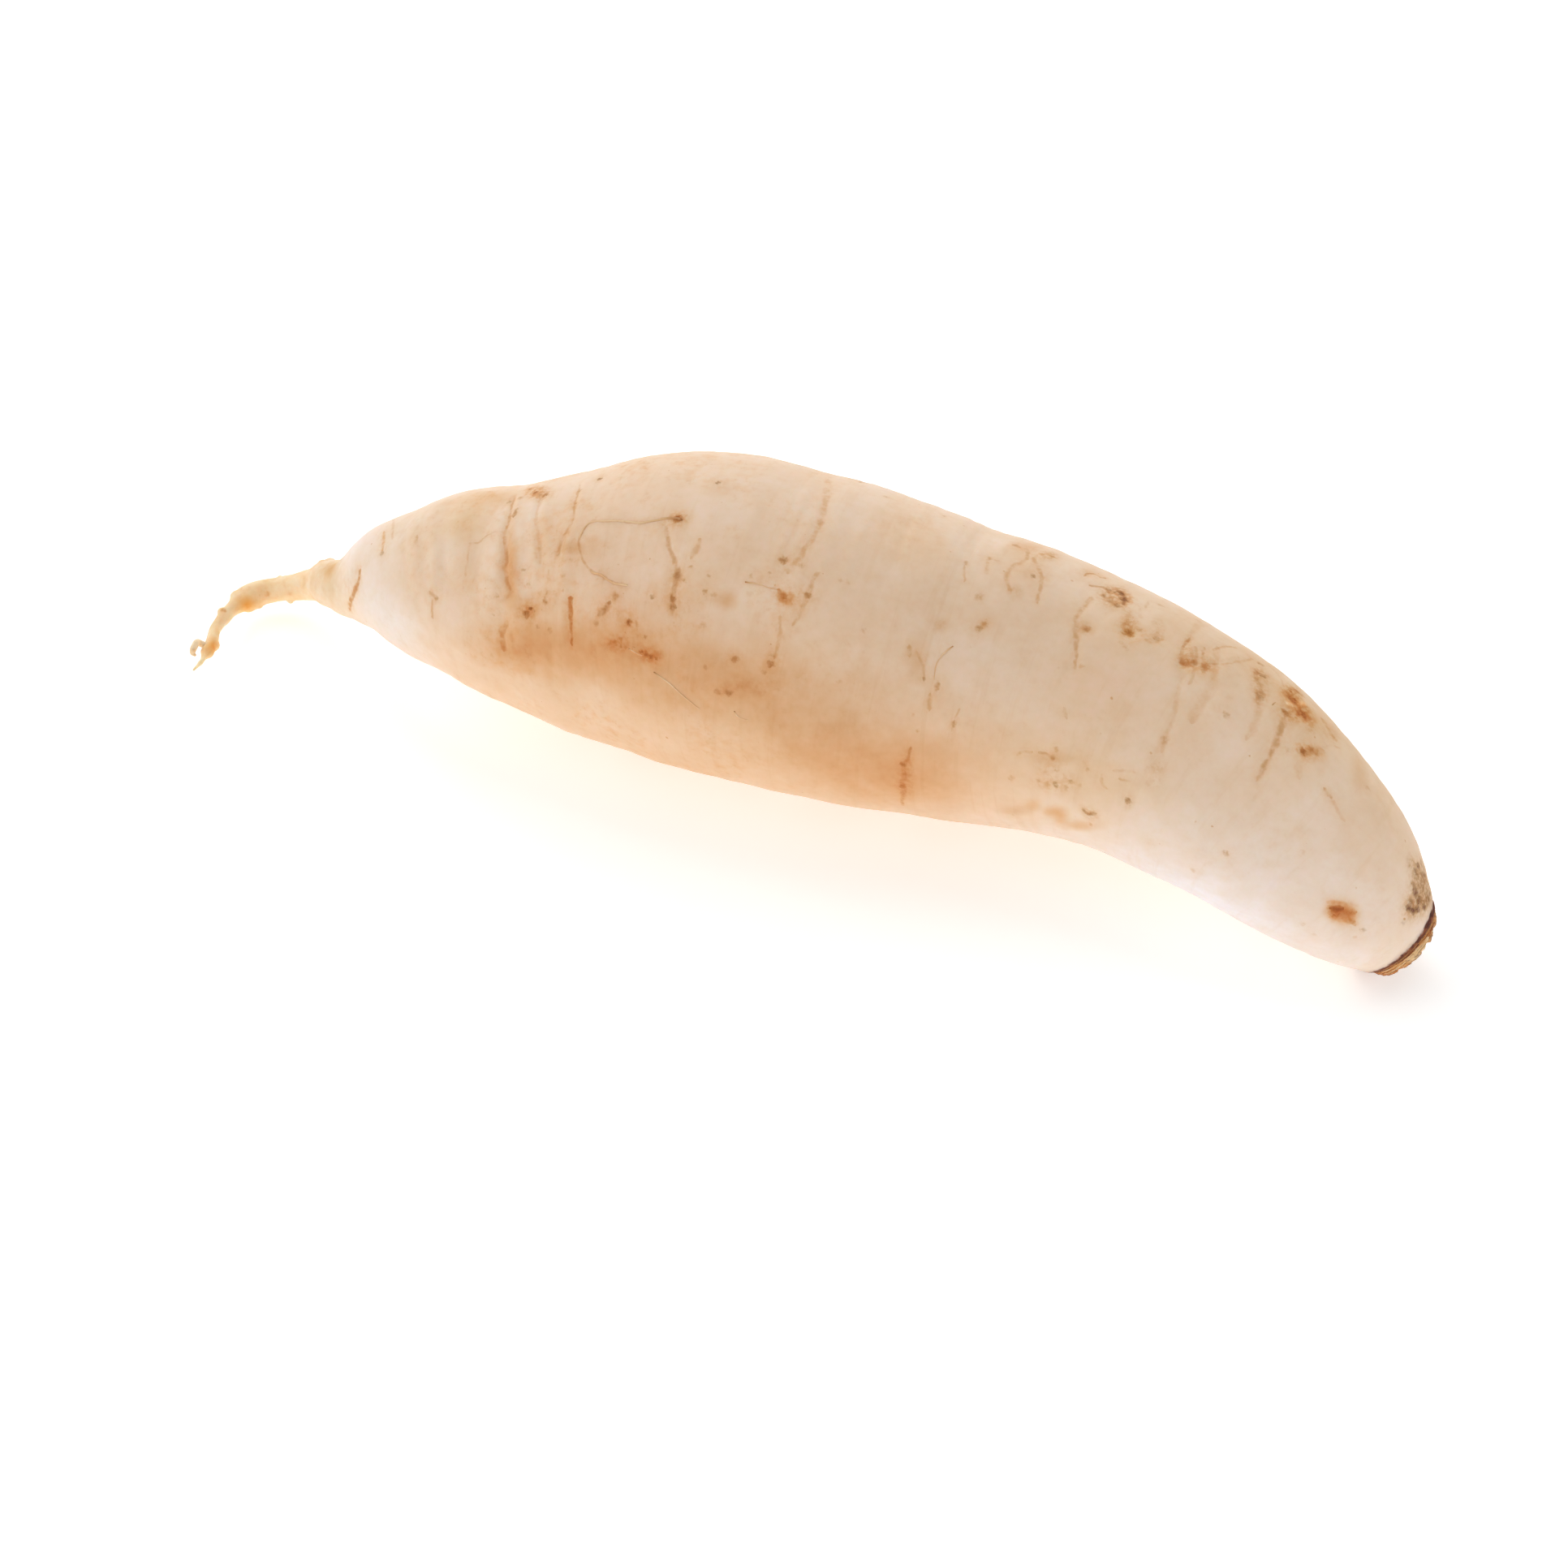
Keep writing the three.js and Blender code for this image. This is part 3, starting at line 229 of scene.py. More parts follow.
    (25.19, -2.8, 0.61, 0.33, 0.28, 0), (10.91, 63.7, 0.81, 0.27, 0.09, 0), (11.6, -70.5, 0.61, 0.48, 0.2, 0), (0.27, 54.1, 0.61, 0.27, 0.08, 0),
    (38.9, 66, 0.81, 0.21, 0.22, 0), (45.91, 79.1, 0.73, 0.23, 0.08, 0), (38.75, -19.1, 0.81, 0.27, 0.08, 0), (32.51, -22.4, 0.73, 0.27, 0.08, 0),
    (41.13, -14.1, 0.65, 0.27, 0.08, 0), (45.58, 136.8, 0.69, 0.24, 0.08, 0), (35.12, 117.7, 0.69, 0.23, 0.08, 0), (352, -18, 0.8, 0.62, 0.34, 0.2),
    (354.6, -27, 0.8, 0.62, 0.32, 0.2), (349.5, -19, 0.7, 0.58, 0.28, 0.15), (356.2, -14, 0.8, 0.62, 0.36, 0.2), (353.4, -36, 0.6, 0.58, 0.22, 0.2),
    (351, -12.5, 0.7, 0.62, 0.32, 0.15),
]
# patches: (s, angle, half length, half width, turn from the s axis in degrees, kind, tone, strength)
MARK_PATCHES = [
    (112.3, 11.3, 6, 4.6, 38, "y", 0.19, 0.04), (147.8, 22.9, 1.94, 1.07, 13, "y", 0.24, 0.1), (156.7, 45.7, 2.2, 1.16, 0, "y", 0.21, 0.13),
    # the long patch at s 127, angle 31.8 is partly tan stain and partly painted shade beside the fold
    (183.6, 41.1, 2.3, 2.1, -23, "y", 0.19, 0.27), (151.3, 55.9, 1.97, 1.16, -5, "y", 0.22, 0.09), (127, 31.8, 7.59, 1.67, 77, "y", 0.21, 0.23),
    (128.3, 47.2, 4.3, 2.07, 84, "y", 0.23, 0.1), (115.3, -11, 6.28, 4.03, 19, "y", 0.2, 0.12), (113.1, 16.3, 3.54, 1.56, 68, "y", 0.21, 0.03),
    (132.8, 51.8, 7.21, 2.72, -8, "y", 0.19, 0.13), (137.6, 15.8, 7.78, 4.14, 67, "y", 0.22, 0.05), (149.5, 25.6, 6.14, 2.95, 10, "y", 0.22, 0.06),
    (142.4, 26, 3.35, 1.69, 7, "y", 0.21, 0.25), (130.2, 22.7, 4.66, 2.02, 73, "y", 0.22, 0.05), (127, -12, 6.41, 2.92, 42, "o", 0.22, 0.3),
    (131.9, 55.6, 3, 1.95, -12, "o", 0.27, 0.07), (158, 63.1, 5.89, 1.78, -6, "o", 0.21, 0.19), (167.5, 65.1, 4.03, 1.79, -11, "o", 0.21, 0.25),
    (168.6, 15, 2.21, 1.43, 1, "o", 0.23, 0.22), (172, 36.8, 2.37, 1.46, 76, "o", 0.27, 0.08), (173.9, -2.6, 4.57, 4.4, 132, "y", 0.23, 0.03),
    (190, 30.2, 5.73, 2.03, -14, "y", 0.21, 0.05), (196.2, 35.4, 2.22, 1.75, -17, "o", 0.22, 0.15), (194.4, 67, 7.32, 3.18, -16, "o", 0.23, 0.06),
    (185.1, 61, 4.7, 2.69, -19, "o", 0.24, 0.03), (234, 29.1, 3.59, 1.82, -5, "y", 0.23, 0.04), (228.8, 43.4, 5.5, 3.25, 64, "y", 0.21, 0.14),
    (238.2, 56.4, 4.69, 3.99, 63, "y", 0.22, 0.06), (231.9, 91.4, 8.46, 2.38, 89, "o", 0.23, 0.12), (249.5, 6.2, 2.12, 1.94, 122, "o", 0.24, 0.12),
    (245.1, -25.2, 6.71, 2.99, 106, "y", 0.21, 0.2), (249.3, -6.3, 8.1, 4.3, 75, "y", 0.2, 0.08), (250.3, -24.4, 4.46, 2.03, 102, "o", 0.23, 0.26),
    (259.9, -25.6, 5.05, 2.26, 95, "y", 0.21, 0.1), (268.7, -15.7, 6.17, 3.55, 86, "o", 0.26, 0.21), (268.5, 10.2, 1.63, 1.38, -41, "y", 0.23, 0.19),
    (275.1, -3.2, 4.4, 1.76, 71, "o", 0.24, 0.27), (276.6, 2.9, 1.46, 1.07, 111, "v", 0.27, 0.25), (280.5, -7.2, 4.58, 1.64, 69, "o", 0.25, 0.12),
    (288.8, -2.9, 3.94, 1.9, 68, "v", 0.25, 0.2), (293.5, -3, 2.41, 1.44, 79, "v", 0.25, 0.14), (295.3, -21.1, 8.43, 3.32, 100, "y", 0.22, 0.04),
    (303.1, -13.4, 6.88, 1.97, 71, "o", 0.25, 0.19), (308.3, -26.2, 5.47, 1.9, 90, "o", 0.21, 0.49), (311.8, -16.7, 5.24, 2.01, 99, "o", 0.2, 0.32),
    (314.8, -15.2, 3.29, 1.22, 74, "o", 0.24, 0.15), (306.9, -47.3, 7.3, 1.81, 84, "o", 0.24, 0.09), (318, -1.5, 3.35, 1.22, 116, "o", 0.24, 0.11),
    (318.2, -24.5, 5.11, 2.15, 89, "o", 0.24, 0.09), (327.8, -18.1, 6.19, 2.09, 75, "y", 0.2, 0.13), (296.6, 53.3, 4.42, 2.84, 68, "o", 0.23, 0.09),
    (272.7, 73.3, 4.08, 2.29, -20, "o", 0.25, 0.08), (275.1, 80.2, 8.26, 2.69, -19, "o", 0.24, 0.06), (275.9, 96.6, 3.84, 1.99, -29, "p", 0.15, 0.34),
    (278, 100.5, 3.08, 1.91, 129, "p", 0.15, 0.24), (283.7, 100.2, 6.68, 1.77, 146, "p", 0.15, 0.25), (269.4, 96.3, 2.79, 1.84, 138, "p", 0.15, 0.2),
    (264.1, 103.2, 5.61, 1.99, -25, "p", 0.26, 0.18), (273.7, 68.5, 5.72, 1.61, -18, "p", 0.26, 0.19), (342.8, 56.9, 2.81, 2.14, 118, "y", 0.18, 0.22),
    (344.5, 55.7, 2.01, 1.71, 101, "y", 0.16, 0.1), (341.6, 57.8, 1.48, 0.79, 128, "o", 0.24, 0.28), (346.7, -4.1, 2.81, 1.56, 71, "g", 0.42, 0.16),
    (348.7, -5.9, 3.06, 1.91, 101, "g", 0.42, 0.17), (351.3, -4.7, 4.04, 2.4, 113, "g", 0.42, 0.4), (354.1, -2.1, 4.87, 2.45, 123, "g", 0.42, 0.33),
    (354.8, 9.4, 4.63, 1.6, 133, "g", 0.42, 0.21), (356.3, -6.9, 4.45, 2.39, 117, "g", 0.42, 0.29), (353.2, 9.9, 2.68, 2.14, 126, "g", 0.42, 0.15),
    (279, -16.1, 12.22, 6.09, 99, "y", 0.22, 0.03), (299.7, -41, 14.6, 3.38, 87, "y", 0.22, 0.03), (249.3, 19.4, 11.7, 6.52, -19, "y", 0.22, 0.03),
    (329.2, 19.8, 7.27, 4.88, 70, "y", 0.22, 0.03), (64.6, 15.9, 4.38, 2.13, 12, "y", 0.19, 0.13), (80.2, 51, 6.48, 4.07, 8, "o", 0.24, 0.05),
    (31.6, 71.9, 3.15, 2.49, 15, "y", 0.15, 0.14), (11.2, 42.6, 3.5, 2.35, -9, "y", 0.15, 0.34), (21.5, 15.7, 3.88, 2.15, -19, "y", 0.21, 0.07),
    # the 'w' patches on the belly are painted shade and painted warm reflected light from a neighbouring root lying
    # against it
    (41.5, 71.2, 10.64, 2.88, 7, "y", 0.21, 0.07), (66.3, 22.9, 5.11, 2.32, 5, "y", 0.19, 0.12), (147.6, 68.3, 24.93, 7.34, -10, "w", 0.17, 0.4),
    (133.1, 68.3, 9.06, 5.22, -20, "w", 0.21, 0.13), (181.2, 71, 24.52, 9.45, -17, "w", 0.19, 0.3), (207.7, 75.8, 20.91, 12.02, -22, "w", 0.25, 0.2),
    (228.4, 90.4, 23.48, 12.33, -15, "w", 0.18, 0.19), (171.3, 53.7, 28.59, 7.65, -9, "w", 0.26, 0.05), (351, -20, 3.4, 2.6, 0, "g", 0.42, 0.13),
    (354.8, -18, 2.6, 3.6, 0, "g", 0.42, 0.17), (355.5, -33, 2.2, 3.2, 0, "g", 0.4, 0.09),
]
# broad soft tints, some of them painted shade and painted light where noted: (s, angle, half length, half width, turn,
# red, green and blue density)
BROAD_TINTS_AND_PAINTED_SHADING = [
    # these two make the lower side near the crown paler and lighter: painted light from the bright floor below
    (330, 98, 40, 34, 0, 0.0, -0.06, -0.15),
    (300, 100, 30, 20, 0, 0.0, -0.02, -0.05),
    (86, 98, 24, 20, 0, 0.0, -0.03, -0.09),
    (86, 18, 20, 26, 0, 0.008, -0.016, -0.03),
    (318, -40, 46, 14, 0, 0.04, 0.06, 0.10),
    (262, 20, 50, 20, 0, 0.02, 0.01, 0.0),
    (288, 72, 26, 12, 0, 0.02, 0.05, 0.11),
    # warmer and darker low on the side here: painted shade from a neighbouring root
    (232, 92, 22, 14, 0, 0.03, 0.09, 0.16),
    (31.5, 76, 2.0, 1.8, 0, 0.0, 0.08, 0.34),
    (31.5, 60, 4.0, 2.4, 0, 0.0, 0.02, 0.08),
    (11.2, 43, 2.2, 1.5, 0, 0.0, 0.07, 0.28),
    (16.5, 43, 3.4, 1.8, 0, 0.0, 0.02, 0.07),
    (113.5, -12, 6.5, 5.0, 0, 0.01, 0.05, 0.13),
    (112.2, 11, 4.0, 5.0, 0, 0.0, 0.01, 0.055),
    (70, 38, 5.5, 9, 0, 0.065, 0.095, 0.15),
    (97, 86, 10, 9, 0, 0.0, -0.045, -0.09),
    (279, 28, 8, 7, 0, 0.01, 0.045, 0.09),
    (150.5, 30, 9, 8, 0, 0.03, 0.05, 0.07),
    (66.5, 20, 4.0, 4.0, 0, 0.01, 0.04, 0.12),
    (342.2, 58.6, 2.0, 2.0, 0, 0.06, 0.19, 0.34),
    (343.8, 54.0, 2.0, 1.9, 0, 0.06, 0.17, 0.32),
    # these four are light and dark bands beside the folds: painted highlight and painted shade of the relief
    (126.5, 34, 1.5, 10.0, -13.5, 0.01, 0.07, 0.15),
    (121.0, 30, 3.0, 14.0, -8, -0.01, -0.03, -0.06),
    (130.4, 22, 1.8, 12.0, -10, -0.01, -0.03, -0.06),
    (133.9, 19, 1.4, 8.0, -10, 0.01, 0.04, 0.09),
    # these two warm and darken the belly and underside: painted shade and warm reflected light from a neighbouring root
    (182, 112, 72, 28, 0, 0.03, 0.08, 0.15),
    (160, 48, 16, 7.0, 0, 0.015, 0.045, 0.07),
    # paler and lighter along the underside near the crown: painted light from the bright floor below
    (300, 125, 60, 14, 0, 0.0, -0.03, -0.08),
    # lighter and whiter on top at s 80: painted highlight
    (80, -5, 9, 9, 0, -0.03, -0.06, -0.13),
    (60, 30, 7, 14, 0, 0.04, 0.045, 0.035),
    # lighter on the tail at s 42 where it falls in shade: painted light
    (42, 20, 9, 5, 0, -0.02, -0.025, -0.02),
    (326, 8, 24, 17, 0, -0.035, -0.035, -0.03),
    (220, -4, 17, 13, 0, -0.03, -0.03, -0.025),
    (268, -8, 18, 12, 0, -0.015, -0.015, -0.01),
    (292, 14, 24, 18, 0, 0.0, 0.01, 0.03),
    (308, -26, 24, 10, 0, 0.0, 0.01, 0.04),
    (276.6, 2.4, 1.3, 1.1, 0, 0.0, -0.05, 0.0),
    (310.2, -21, 3.6, 3.2, 0, 0.02, 0.05, 0.14),
    # a pale band beside a fold: painted highlight
    (110.0, 28, 2.4, 12.0, 0, 0.0, -0.015, -0.03),
]
# low folds round the thin end: (s, angle, half angle, height mm, half width)
FOLDS = [(104.0, 30, 70, 0.22, 1.6), (109.5, 24, 75, 0.26, 1.8), (114.5, 30, 60, -0.20, 1.6), (120.8, 26, 75, 0.34, 2.4), (125.2, 30, 60, -0.26, 1.5),
         (130.4, 22, 70, 0.26, 2.0), (133.8, 20, 55, -0.18, 1.4), (139.0, 20, 60, 0.14, 2.0), (143.0, 20, 70, 0.20, 2.0)]
# swellings of the tail: (s, angle, reach mm, height mm)
TAIL_BUMPS = [(36.5, -55, 2.4, 0.35), (31.0, -70, 1.8, 0.30), (43.0, 95, 1.6, 0.28), (57.0, 60, 1.3, 0.14), (24.5, 150, 2.0, 0.25), (50.0, -40, 2.2, 0.18)]
# thin rootlets lying on the skin: ([(s, angle), ...], radius at the start, radius at the end)
ROOTLETS = [
    ([(169.53, 15.2), (167.57, 14.8), (166.04, 15), (164.22, 15.9), (161.98, 16.7), (159.69, 17.4), (156.92, 16.6), (154.16, 15.8), (150.4, 15), (146.88, 14.5), (145.18, 16.1), (144.25, 19.8), (144.02, 23.5), (145.7, 29.7), (147.25, 33.8), (149.32, 36.5), (151.73, 37.5), (153.77, 39.4), (156.3, 41), (159.86, 41.5)], 0.36, 0.22),
    ([(161.86, 63.9), (163.82, 65), (165.7, 65.8)], 0.14, 0.08),
    ([(186.29, 33.2), (189.53, 32.8), (191.75, 33.2), (193.83, 33.3)], 0.17, 0.07),
    ([(239.51, 36.1), (237.74, 38.8), (236.43, 41.6), (235.67, 44.6), (236.16, 50.1)], 0.17, 0.07),
    ([(169.16, 71), (171.22, 72.4), (173.55, 74.1), (175.7, 76), (178.17, 78.1), (180.33, 79.8), (182.33, 81.4)], 0.26, 0.17),
    ([(189.88, 78.6), (190.44, 80), (191.47, 80.9), (192.86, 80.9)], 0.22, 0.13),
]


# ---------------------------------------------------------------------- curves
def spline(t, v):
    """Natural cubic spline through v at knots t, as the part's centre line uses."""
    n = len(t)
    m, c, d = np.zeros(n), np.zeros(n), np.zeros(n)
    for i in range(1, n - 1):
        h0, h1 = t[i] - t[i - 1], t[i + 1] - t[i]
        w = 2 * (h0 + h1) - h0 * c[i - 1]
        c[i] = h1 / w
        d[i] = (6 * ((v[i + 1] - v[i]) / h1 - (v[i] - v[i - 1]) / h0) - h0 * d[i - 1]) / w
    for i in range(n - 2, 0, -1):
        m[i] = d[i] - c[i] * m[i + 1]

    def f(x):
        x = np.asarray(x, float)
        i = np.clip(np.searchsorted(t, x, side="left") - 1, 0, n - 2)
        h = t[i + 1] - t[i]
        a, b = (t[i + 1] - x) / h, (x - t[i]) / h
        return a * v[i] + b * v[i + 1] + ((a ** 3 - a) * m[i] + (b ** 3 - b) * m[i + 1]) * h * h / 6

    return f


class CentreLine:
    def __init__(self, stations):
        st = np.array(stations, float)
        self.t = np.r_[0, np.cumsum(np.linalg.norm(np.diff(st[:, :3], axis=0), axis=1))]
        self.length = float(self.t[-1])
        self.f = [spline(self.t, st[:, k]) for k in range(4)]

    def point(self, s):
        return np.stack([f(s) for f in self.f[:3]], -1)

    def radius(self, s):
        return self.f[3](s)

    def frame(self, s):
        s = np.asarray(s, float)
        along = self.point(np.minimum(self.length, s + 0.05)) - self.point(np.maximum(0, s - 0.05))
        along /= np.linalg.norm(along, axis=-1, keepdims=True)
        up = np.array([0, 0, 1.0]) - along * along[..., 2:3]
        up /= np.linalg.norm(up, axis=-1, keepdims=True)
        return self.point(s), along, up, np.cross(along, up)


def smooth(x, a, b):
    t = np.clip((x - a) / (b - a), 0, 1)
    return t * t * (3 - 2 * t)


ROOT = CentreLine(ROOT_STATIONS)
LENGTH = ROOT.length
RIM = float(ROOT.radius(LENGTH))


# ----------------------------------------------------------------------- noise
def make_noise(seed):
    rng = np.random.RandomState(seed)
    perm = rng.permutation(256)
    perm = np.r_[perm, perm, perm]
    grads = rng.normal(size=(256, 3))
    grads /= np.linalg.norm(grads, axis=1, keepdims=True)

    def noise(p):
        p = np.asarray(p, float)
        i = np.floor(p).astype(int)
        f = p - i
        i &= 255
        u = f * f * f * (f * (f * 6 - 15) + 10)
        out = 0
        for dx in (0, 1):
            for dy in (0, 1):
                for dz in (0, 1):
                    g = grads[perm[perm[perm[(i[:, 0] + dx) & 255] + ((i[:, 1] + dy) & 255)] + ((i[:, 2] + dz) & 255)]]
                    q = f - np.array([dx, dy, dz])
                    w = (u[:, 0] if dx else 1 - u[:, 0]) * (u[:, 1] if dy else 1 - u[:, 1]) * (u[:, 2] if dz else 1 - u[:, 2])
                    out = out + w * (g * q).sum(1)
        return out * 1.6

    return noise


NOISE = [make_noise(11 + k) for k in range(8)]


def around(s, a, stretch):
    """Noise coordinates that join up round the root: (s, around, around)."""
    return np.stack([s * stretch[0], 20 * np.cos(a) * stretch[1], 20 * np.sin(a) * stretch[1]], -1)


# ------------------------------------------------ marks on the sides not listed
def extra_marks():
    """More marks of the same kinds, for the back and the underside."""
    rng = np.random.RandomState(5)
    lines, spots, patches = [], [], []
    for k in range(50):
        s = rng.uniform(98, 350)
        a = rng.uniform(152, 304)
        r = float(ROOT.radius(s))
        span = math.degrees(rng.uniform(3, 19) / r)
        n = max(3, int(span / 4))
        lean = rng.uniform(-3, 3)
        pts, wob = [], 0.0
        w0 = rng.uniform(0.25, 0.5)
        for i in range(n + 1):
            wob += rng.uniform(-0.5, 0.5)
            pts.append((s + lean * i / n + wob, a + span * i / n, w0 * (0.5 + 0.8 * math.sin(math.pi * (i + 0.6) / (n + 1.2)))))
        lines.append((pts, rng.uniform(0.25, 0.6), rng.uniform(0.10, 0.36), rng.uniform(0.05, 0.28)))
    for k in range(120):
        s = rng.uniform(96, 356)
        a = rng.uniform(148, 308)
        big = rng.uniform() < 0.14
        spots.append((s, a, rng.uniform(0.28, 0.5) if not big else rng.uniform(0.6, 1.0), rng.uniform(0.25, 0.7), 0.1 + 0.8 * rng.uniform() ** 2.5,
                      0.3 if big else 0.0))
    for k in range(38):
        s = rng.uniform(100, 350)
        a = rng.uniform(150, 306)
        kind = ["y", "y", "o", "o", "v", "g"][rng.randint(6)]
        patches.append((s, a, rng.uniform(2, 8), rng.uniform(1.3, 4), rng.uniform(0, 180), kind, rng.uniform(0.18, 0.42), rng.uniform(0.07, 0.28)))
    return lines, spots, patches


_extra = extra_marks()
LINES = list(MARK_LINES) + _extra[0]
SPOTS = list(MARK_SPOTS) + _extra[1]
PATCHES = list(MARK_PATCHES) + _extra[2]


def finer(points, times=5):
    """Catmull-Rom through the listed points."""
    p = np.array(points, float)
    if len(p) < 3:
        n = times + 1
        return p[0] + (p[-1] - p[0]) * np.linspace(0, 1, n)[:, None]
    q = np.vstack([2 * p[0] - p[1], p, 2 * p[-1] - p[-2]])
    out = []
    for i in range(1, len(q) - 2):
        for t in np.linspace(0, 1, times, endpoint=False):
            a, b, c, d = q[i - 1], q[i], q[i + 1], q[i + 2]
            out.append(0.5 * (2 * b + (c - a) * t + (2 * a - 5 * b + 4 * c - d) * t ** 2 + (3 * b - a - 3 * c + d) * t ** 3))
    out.append(p[-1])
    return np.array(out)


for _i, (_pts, _t, _a, _g) in enumerate(LINES):
    _f = finer(_pts)
    _f[:, 2] = np.maximum(_f[:, 2], 0.15)
    LINES[_i] = (_f, _t, _a, _g)


def turn(a, b):
    """Difference of two angles in degrees, within -180 and 180."""
    return (a - b + 180) % 360 - 180


def channels(count, gap, need, groups):
    """Sorts items into groups so that those in one group lie at least a needed gap apart."""
    touch = [[j for j in range(count) if j != i and gap(i, j) < need] for i in range(count)]
    at = {}
    left = set(range(count))
    while left:
        i = max(left, key=lambda i: (len({at[j] for j in touch[i] if j in at}), len(touch[i]), -i))
        used = {at[j] for j in touch[i] if j in at}
        free = [g for g in range(groups) if g not in used]
        at[i] = min(free, key=lambda g: sum(v == g for v in at.values())) if free else \
            max(range(groups), key=lambda g: min([gap(i, j) for j in touch[i] if at.get(j) == g] or [99.0]))
        left.remove(i)
    return [[k for k in range(count) if at[k] == g] for g in range(groups)]


def line_gap(i, j):
    a, b = LINES[i][0], LINES[j][0]
    if a[:, 0].min() - b[:, 0].max() > 8 or b[:, 0].min() - a[:, 0].max() > 8:
        return 99.0
    r = float(ROOT.radius(min(LENGTH, max(1.0, a[0, 0]))))
    ds = a[:, None, 0] - b[None, :, 0]
    dt = np.radians(turn(a[:, None, 1], b[None, :, 1])) * r
    return float(np.sqrt(ds ** 2 + dt ** 2).min()) - float(a[:, 2].max() + b[:, 2].max())


def spot_gap(i, j):
    p, q = SPOTS[i], SPOTS[j]
    if abs(p[0] - q[0]) > 9:
        return 99.0
    r = float(ROOT.radius(min(LENGTH, p[0])))
    return math.hypot(p[0] - q[0], math.radians(turn(p[1], q[1])) * r) - p[2] - q[2]


N_LINE, N_SPOT = 5, 6
LINE_CHANNELS = channels(len(LINES), line_gap, 4.2, N_LINE)
SPOT_CHANNELS = channels(len(SPOTS), spot_gap, 3.4, N_SPOT)


def line_field(s, deg, r, line):
    """Signed distance to a line, its half width there, and how near it is, at points (s, deg)."""
    pts = line[0]
    mid = pts[len(pts) // 2, 1]
    t = np.radians(turn(deg, mid)) * r
    lt = np.radians(turn(pts[:, 1], mid))
    best = np.full(len(s), 1e9)
    sd, w = np.full(len(s), 9.0), np.zeros(len(s))
    for i in range(len(pts) - 1):
        ax, bx = pts[i, 0], pts[i + 1, 0]
        ay, by = lt[i] * r, lt[i + 1] * r
        dx, dy = bx - ax, by - ay
        ln = np.maximum(np.sqrt(dx * dx + dy * dy), 1e-6)
        px, py = s - ax, t - ay
        u = (px * dx + py * dy) / (ln * ln)
        uc = np.clip(u, 0, 1)
        dist = np.hypot(px - dx * uc, py - dy * uc)
        perp = (px * dy - py * dx) / ln
        beyond = 0.0
        if i == 0:
            beyond = np.maximum(-u, 0) * ln
        if i == len(pts) - 2:
            beyond = beyond + np.maximum(u - 1, 0) * ln
        width = pts[i, 2] + (pts[i + 1, 2] - pts[i, 2]) * uc - beyond
        sign = np.where(perp >= 0, 1.0, -1.0)
        here = np.where(beyond > 0, perp, sign * dist) if not np.isscalar(beyond) else sign * dist
        hit = dist < best
        best = np.where(hit, dist, best)
        sd = np.where(hit, here, sd)
        w = np.where(hit, width, w)
    return sd, w, best


def near(s, deg, r, s0, s1, a0, a1, margin):
    """Indices of the points within a margin in mm of a box in s and angle."""
    mid, half = (a0 + a1) / 2, abs(a1 - a0) / 2
    return np.nonzero((s > s0 - margin) & (s < s1 + margin)
                      & (np.abs(turn(deg, mid)) < half + np.degrees(margin / np.maximum(r, 2.0))))[0]


def unwrapped(line):
    a = line[0][:, 1]
    mid = a[len(a) // 2]
    d = turn(a, mid)
    return mid + d.min(), mid + d.max()


# --------------------------------------------------------------- skin geometry
def base_radius(s, a):
    body = smooth(s, 55, 110)
    return ROOT.radius(s) * (1 + body * (0.006 * np.cos(2 * a + 0.9 + s / 90) + 0.004 * np.cos(3 * a - s / 60)))


def knob_reach(s, a, rho):
    """Grows the tail out over its knobs, where each is met along the ray from the centre line."""
    o, al, up, side = ROOT.frame(s)
    ray = up * np.cos(a)[:, None] + side * np.sin(a)[:, None]
    for x, y, z, r in TAIL_KNOBS:
        c = np.array([x, y, z]) - o
        b = (c * ray).sum(1)
        q = r * r * 1.05 - ((c * c).sum(1) - b * b)
        out = np.where(q > 0, b + np.sqrt(np.maximum(q, 0)), 0)
        k = 0.35
        h = np.clip(0.5 + 0.5 * (out - rho) / k, 0, 1)
        rho = np.where(q > 0, rho + (out - rho) * h + k * h * (1 - h), rho)
    return rho


